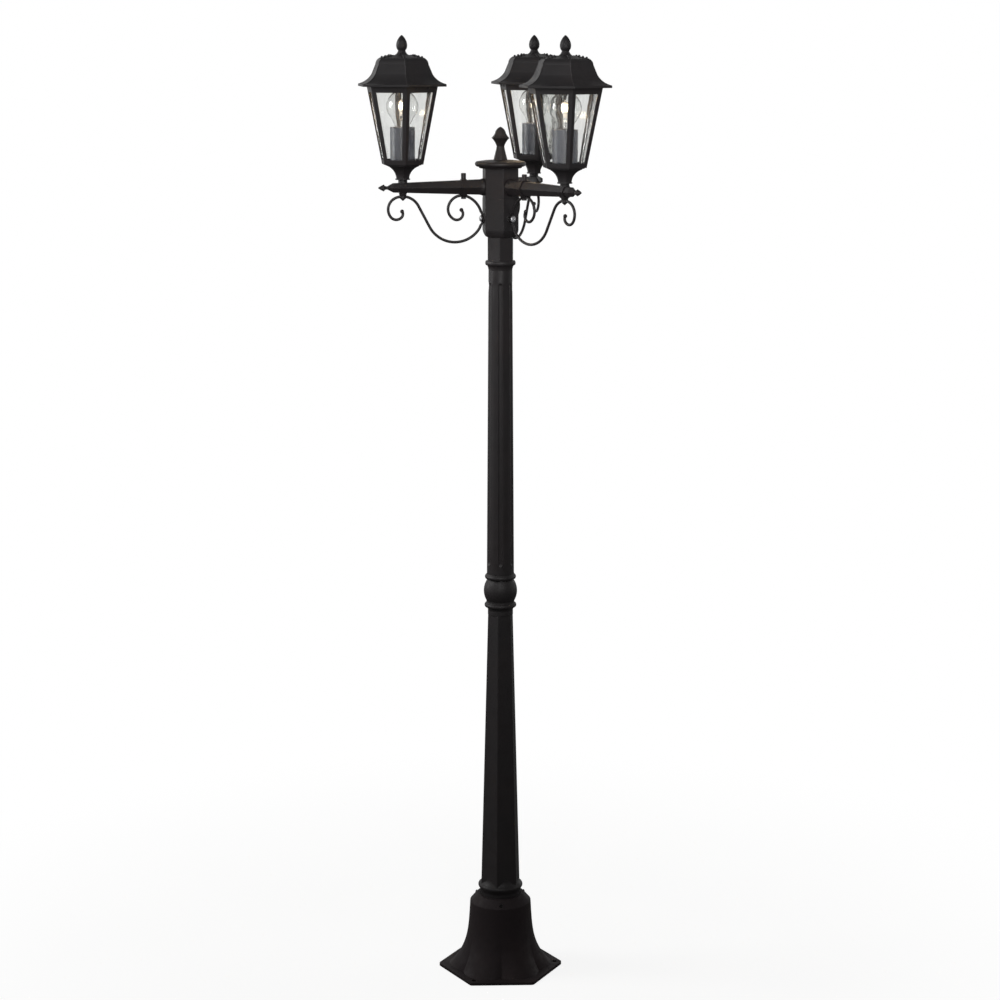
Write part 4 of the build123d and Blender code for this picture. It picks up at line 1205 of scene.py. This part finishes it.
studio = {
    "floorTone": (0.27, 0.27, 0.265, 1),
    "floorSpeck": (0.285, 0.285, 0.28, 1),
    "speckScale": 3.0,
    "floorHalf": 9.0,
    "floorGap": 0.0003,
    "floorLift": 0.85,
    "floorFade": (0.25, 1.6),  # metres from the post where the floor goes over into white
    "roomLevel": 0.50,
    "roomDark": 0.09,
    "sideLight": (  # left, back and right: axis, band along it, light at its ends
        ("X", -0.9, 0.9, 0.55, 0.0), ("Y", -0.7, 0.5, 0.0, 0.45), ("X", 0.4, 1.0, 0.0, 0.34),
    ),
    "shineDark": 0.30,
    "shineBand": (0.1, 0.8),
    "overhead": 0.35,
    "overheadBand": (0.1, 0.9),
    "lights": {  # place, size, power
        "keyLight": ((-2.6, 0.5, 2.25), 1.4, 15.0),
        "fillLight": ((-0.25, -2.0, 2.1), 1.1, 9.5),
    },
    "aim": (0.0, 0.0, 1.8),
    "spread": 95.0,
    "lampWatts": 0.30,
    "lampTone": (1.0, 0.72, 0.42),
    "lampSize": 0.006,
    "lampDrop": 0.012,
}


def areaLight(name, place, size, power):
    data = bpy.data.lights.new(name, "AREA")
    data.shape = "DISK"
    data.size = size
    data.energy = power
    data.spread = radians(studio["spread"])
    light = addObject(name, data)
    light.location = place
    light.rotation_euler = (Vector(studio["aim"]) - Vector(place)).to_track_quat("-Z", "Y").to_euler()


def lampLight(number):
    # the burner's own light, which the glass lets through
    low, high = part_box(f"lamp_burner_{number}")
    data = bpy.data.lights.new(f"lampGlow{number}", "POINT")
    data.energy = studio["lampWatts"]
    data.color = studio["lampTone"]
    data.shadow_soft_size = studio["lampSize"]
    glow = addObject(f"lampGlow{number}", data)
    glow.location = ((low.x + high.x) / 2, (low.y + high.y) / 2, high.z - studio["lampDrop"])
    for thing in (cad[f"bulb_glass_{number}"], cad[f"lantern_glass_{number}"],
                  bpy.data.objects[f"litCapsule_{number}"], bpy.data.objects[f"bulbStem_{number}"]):
        thing.visible_shadow = False


def seenRays(rays):
    # 1 where the eye looks straight or through glass
    return mathOf("ADD", rays.outputs["Is Camera Ray"], rays.outputs["Is Transmission Ray"], clamp=True)


def makeWorld():
    # white to the eye and through glass; its light comes mostly from the left and from behind
    world = bpy.data.worlds.new("studioRoom")
    tree = freshTree(world)
    rays = addNode(tree, "ShaderNodeLightPath")
    way = addNode(tree, "ShaderNodeTexCoord")
    parts = addNode(tree, "ShaderNodeSeparateXYZ", {0: way.outputs["Generated"]}).outputs
    share = 0.0
    for axis, *band in studio["sideLight"]:
        share = mathOf("ADD", share, rangeOf(parts[axis], *band))
    overhead = rangeOf(parts["Z"], *studio["overheadBand"], 1.0, studio["overhead"])
    room = rangeOf(share, 0.0, 1.0, studio["roomDark"], studio["roomLevel"])
    shine = rangeOf(share, *studio["shineBand"], studio["shineDark"], 1.0)
    shine = times(rays.outputs["Is Glossy Ray"], times(overhead, shine))
    level = mathOf("MAXIMUM", seenRays(rays), shine)
    level = mathOf("MAXIMUM", level, times(room, overhead))
    sky = addNode(tree, "ShaderNodeBackground", {"Color": (1, 1, 1, 1), "Strength": level})
    addNode(tree, "ShaderNodeOutputWorld", {0: sky})
    bpy.context.scene.world = world


def makeFloor():
    # pale floor that keeps the post's shadow and goes over into the white room
    half = studio["floorHalf"]
    low = cadBox[0].z - studio["floorGap"]
    corners = [(-half, -half, low), (half, -half, low), (half, half, low), (-half, half, low)]
    floor = meshObject("studioFloor", corners, [(0, 1, 2, 3)])
    material = bpy.data.materials.new("paleFloor")
    tree = freshTree(material)
    place = objectPlace(tree)
    seen = seenRays(addNode(tree, "ShaderNodeLightPath"))
    speck = rangeOf(noiseOf(place, studio["speckScale"], "calm"), *softBand)
    tone = mixOf(speck, studio["floorTone"], studio["floorSpeck"])
    matt = addNode(tree, "ShaderNodeBsdfDiffuse", {"Color": tone})
    lift = times(seen, studio["floorLift"])
    lift = addNode(tree, "ShaderNodeEmission", {"Strength": lift})
    lit = addNode(tree, "ShaderNodeAddShader", {0: matt, 1: lift})
    white = addNode(tree, "ShaderNodeEmission", {"Strength": 1.0})
    reach = addNode(tree, "ShaderNodeVectorMath", {0: place}, operation="LENGTH")
    far = times(rangeOf(reach.outputs["Value"], *studio["floorFade"]), seen)
    both = addNode(tree, "ShaderNodeMixShader", {0: far, 1: lit, 2: white})
    addNode(tree, "ShaderNodeOutputMaterial", {0: both})
    floor.data.materials.append(material)


cameraLook = {
    "lens": 85.0,
    "sensor": 36.0,
    "place": (-0.7623, -4.6497, 1.9345),
    "tilt": 11.194,  # degrees down
    "turn": -9.3,
}


def makeCamera(look):
    data = bpy.data.cameras.new("photoCamera")
    data.lens = look["lens"]
    data.sensor_width = look["sensor"]
    camera = addObject("photoCamera", data)
    camera.location = look["place"]
    camera.rotation_euler = (radians(90 - look["tilt"]), 0, radians(look["turn"]))
    bpy.context.scene.camera = camera


makeWorld()
makeFloor()
makeCamera(cameraLook)
for name, light in studio["lights"].items():
    areaLight(name, *light)
for number in armAngles:
    lampLight(number)
scene = bpy.context.scene
scene.view_settings.view_transform = "Standard"
print("studio ready")
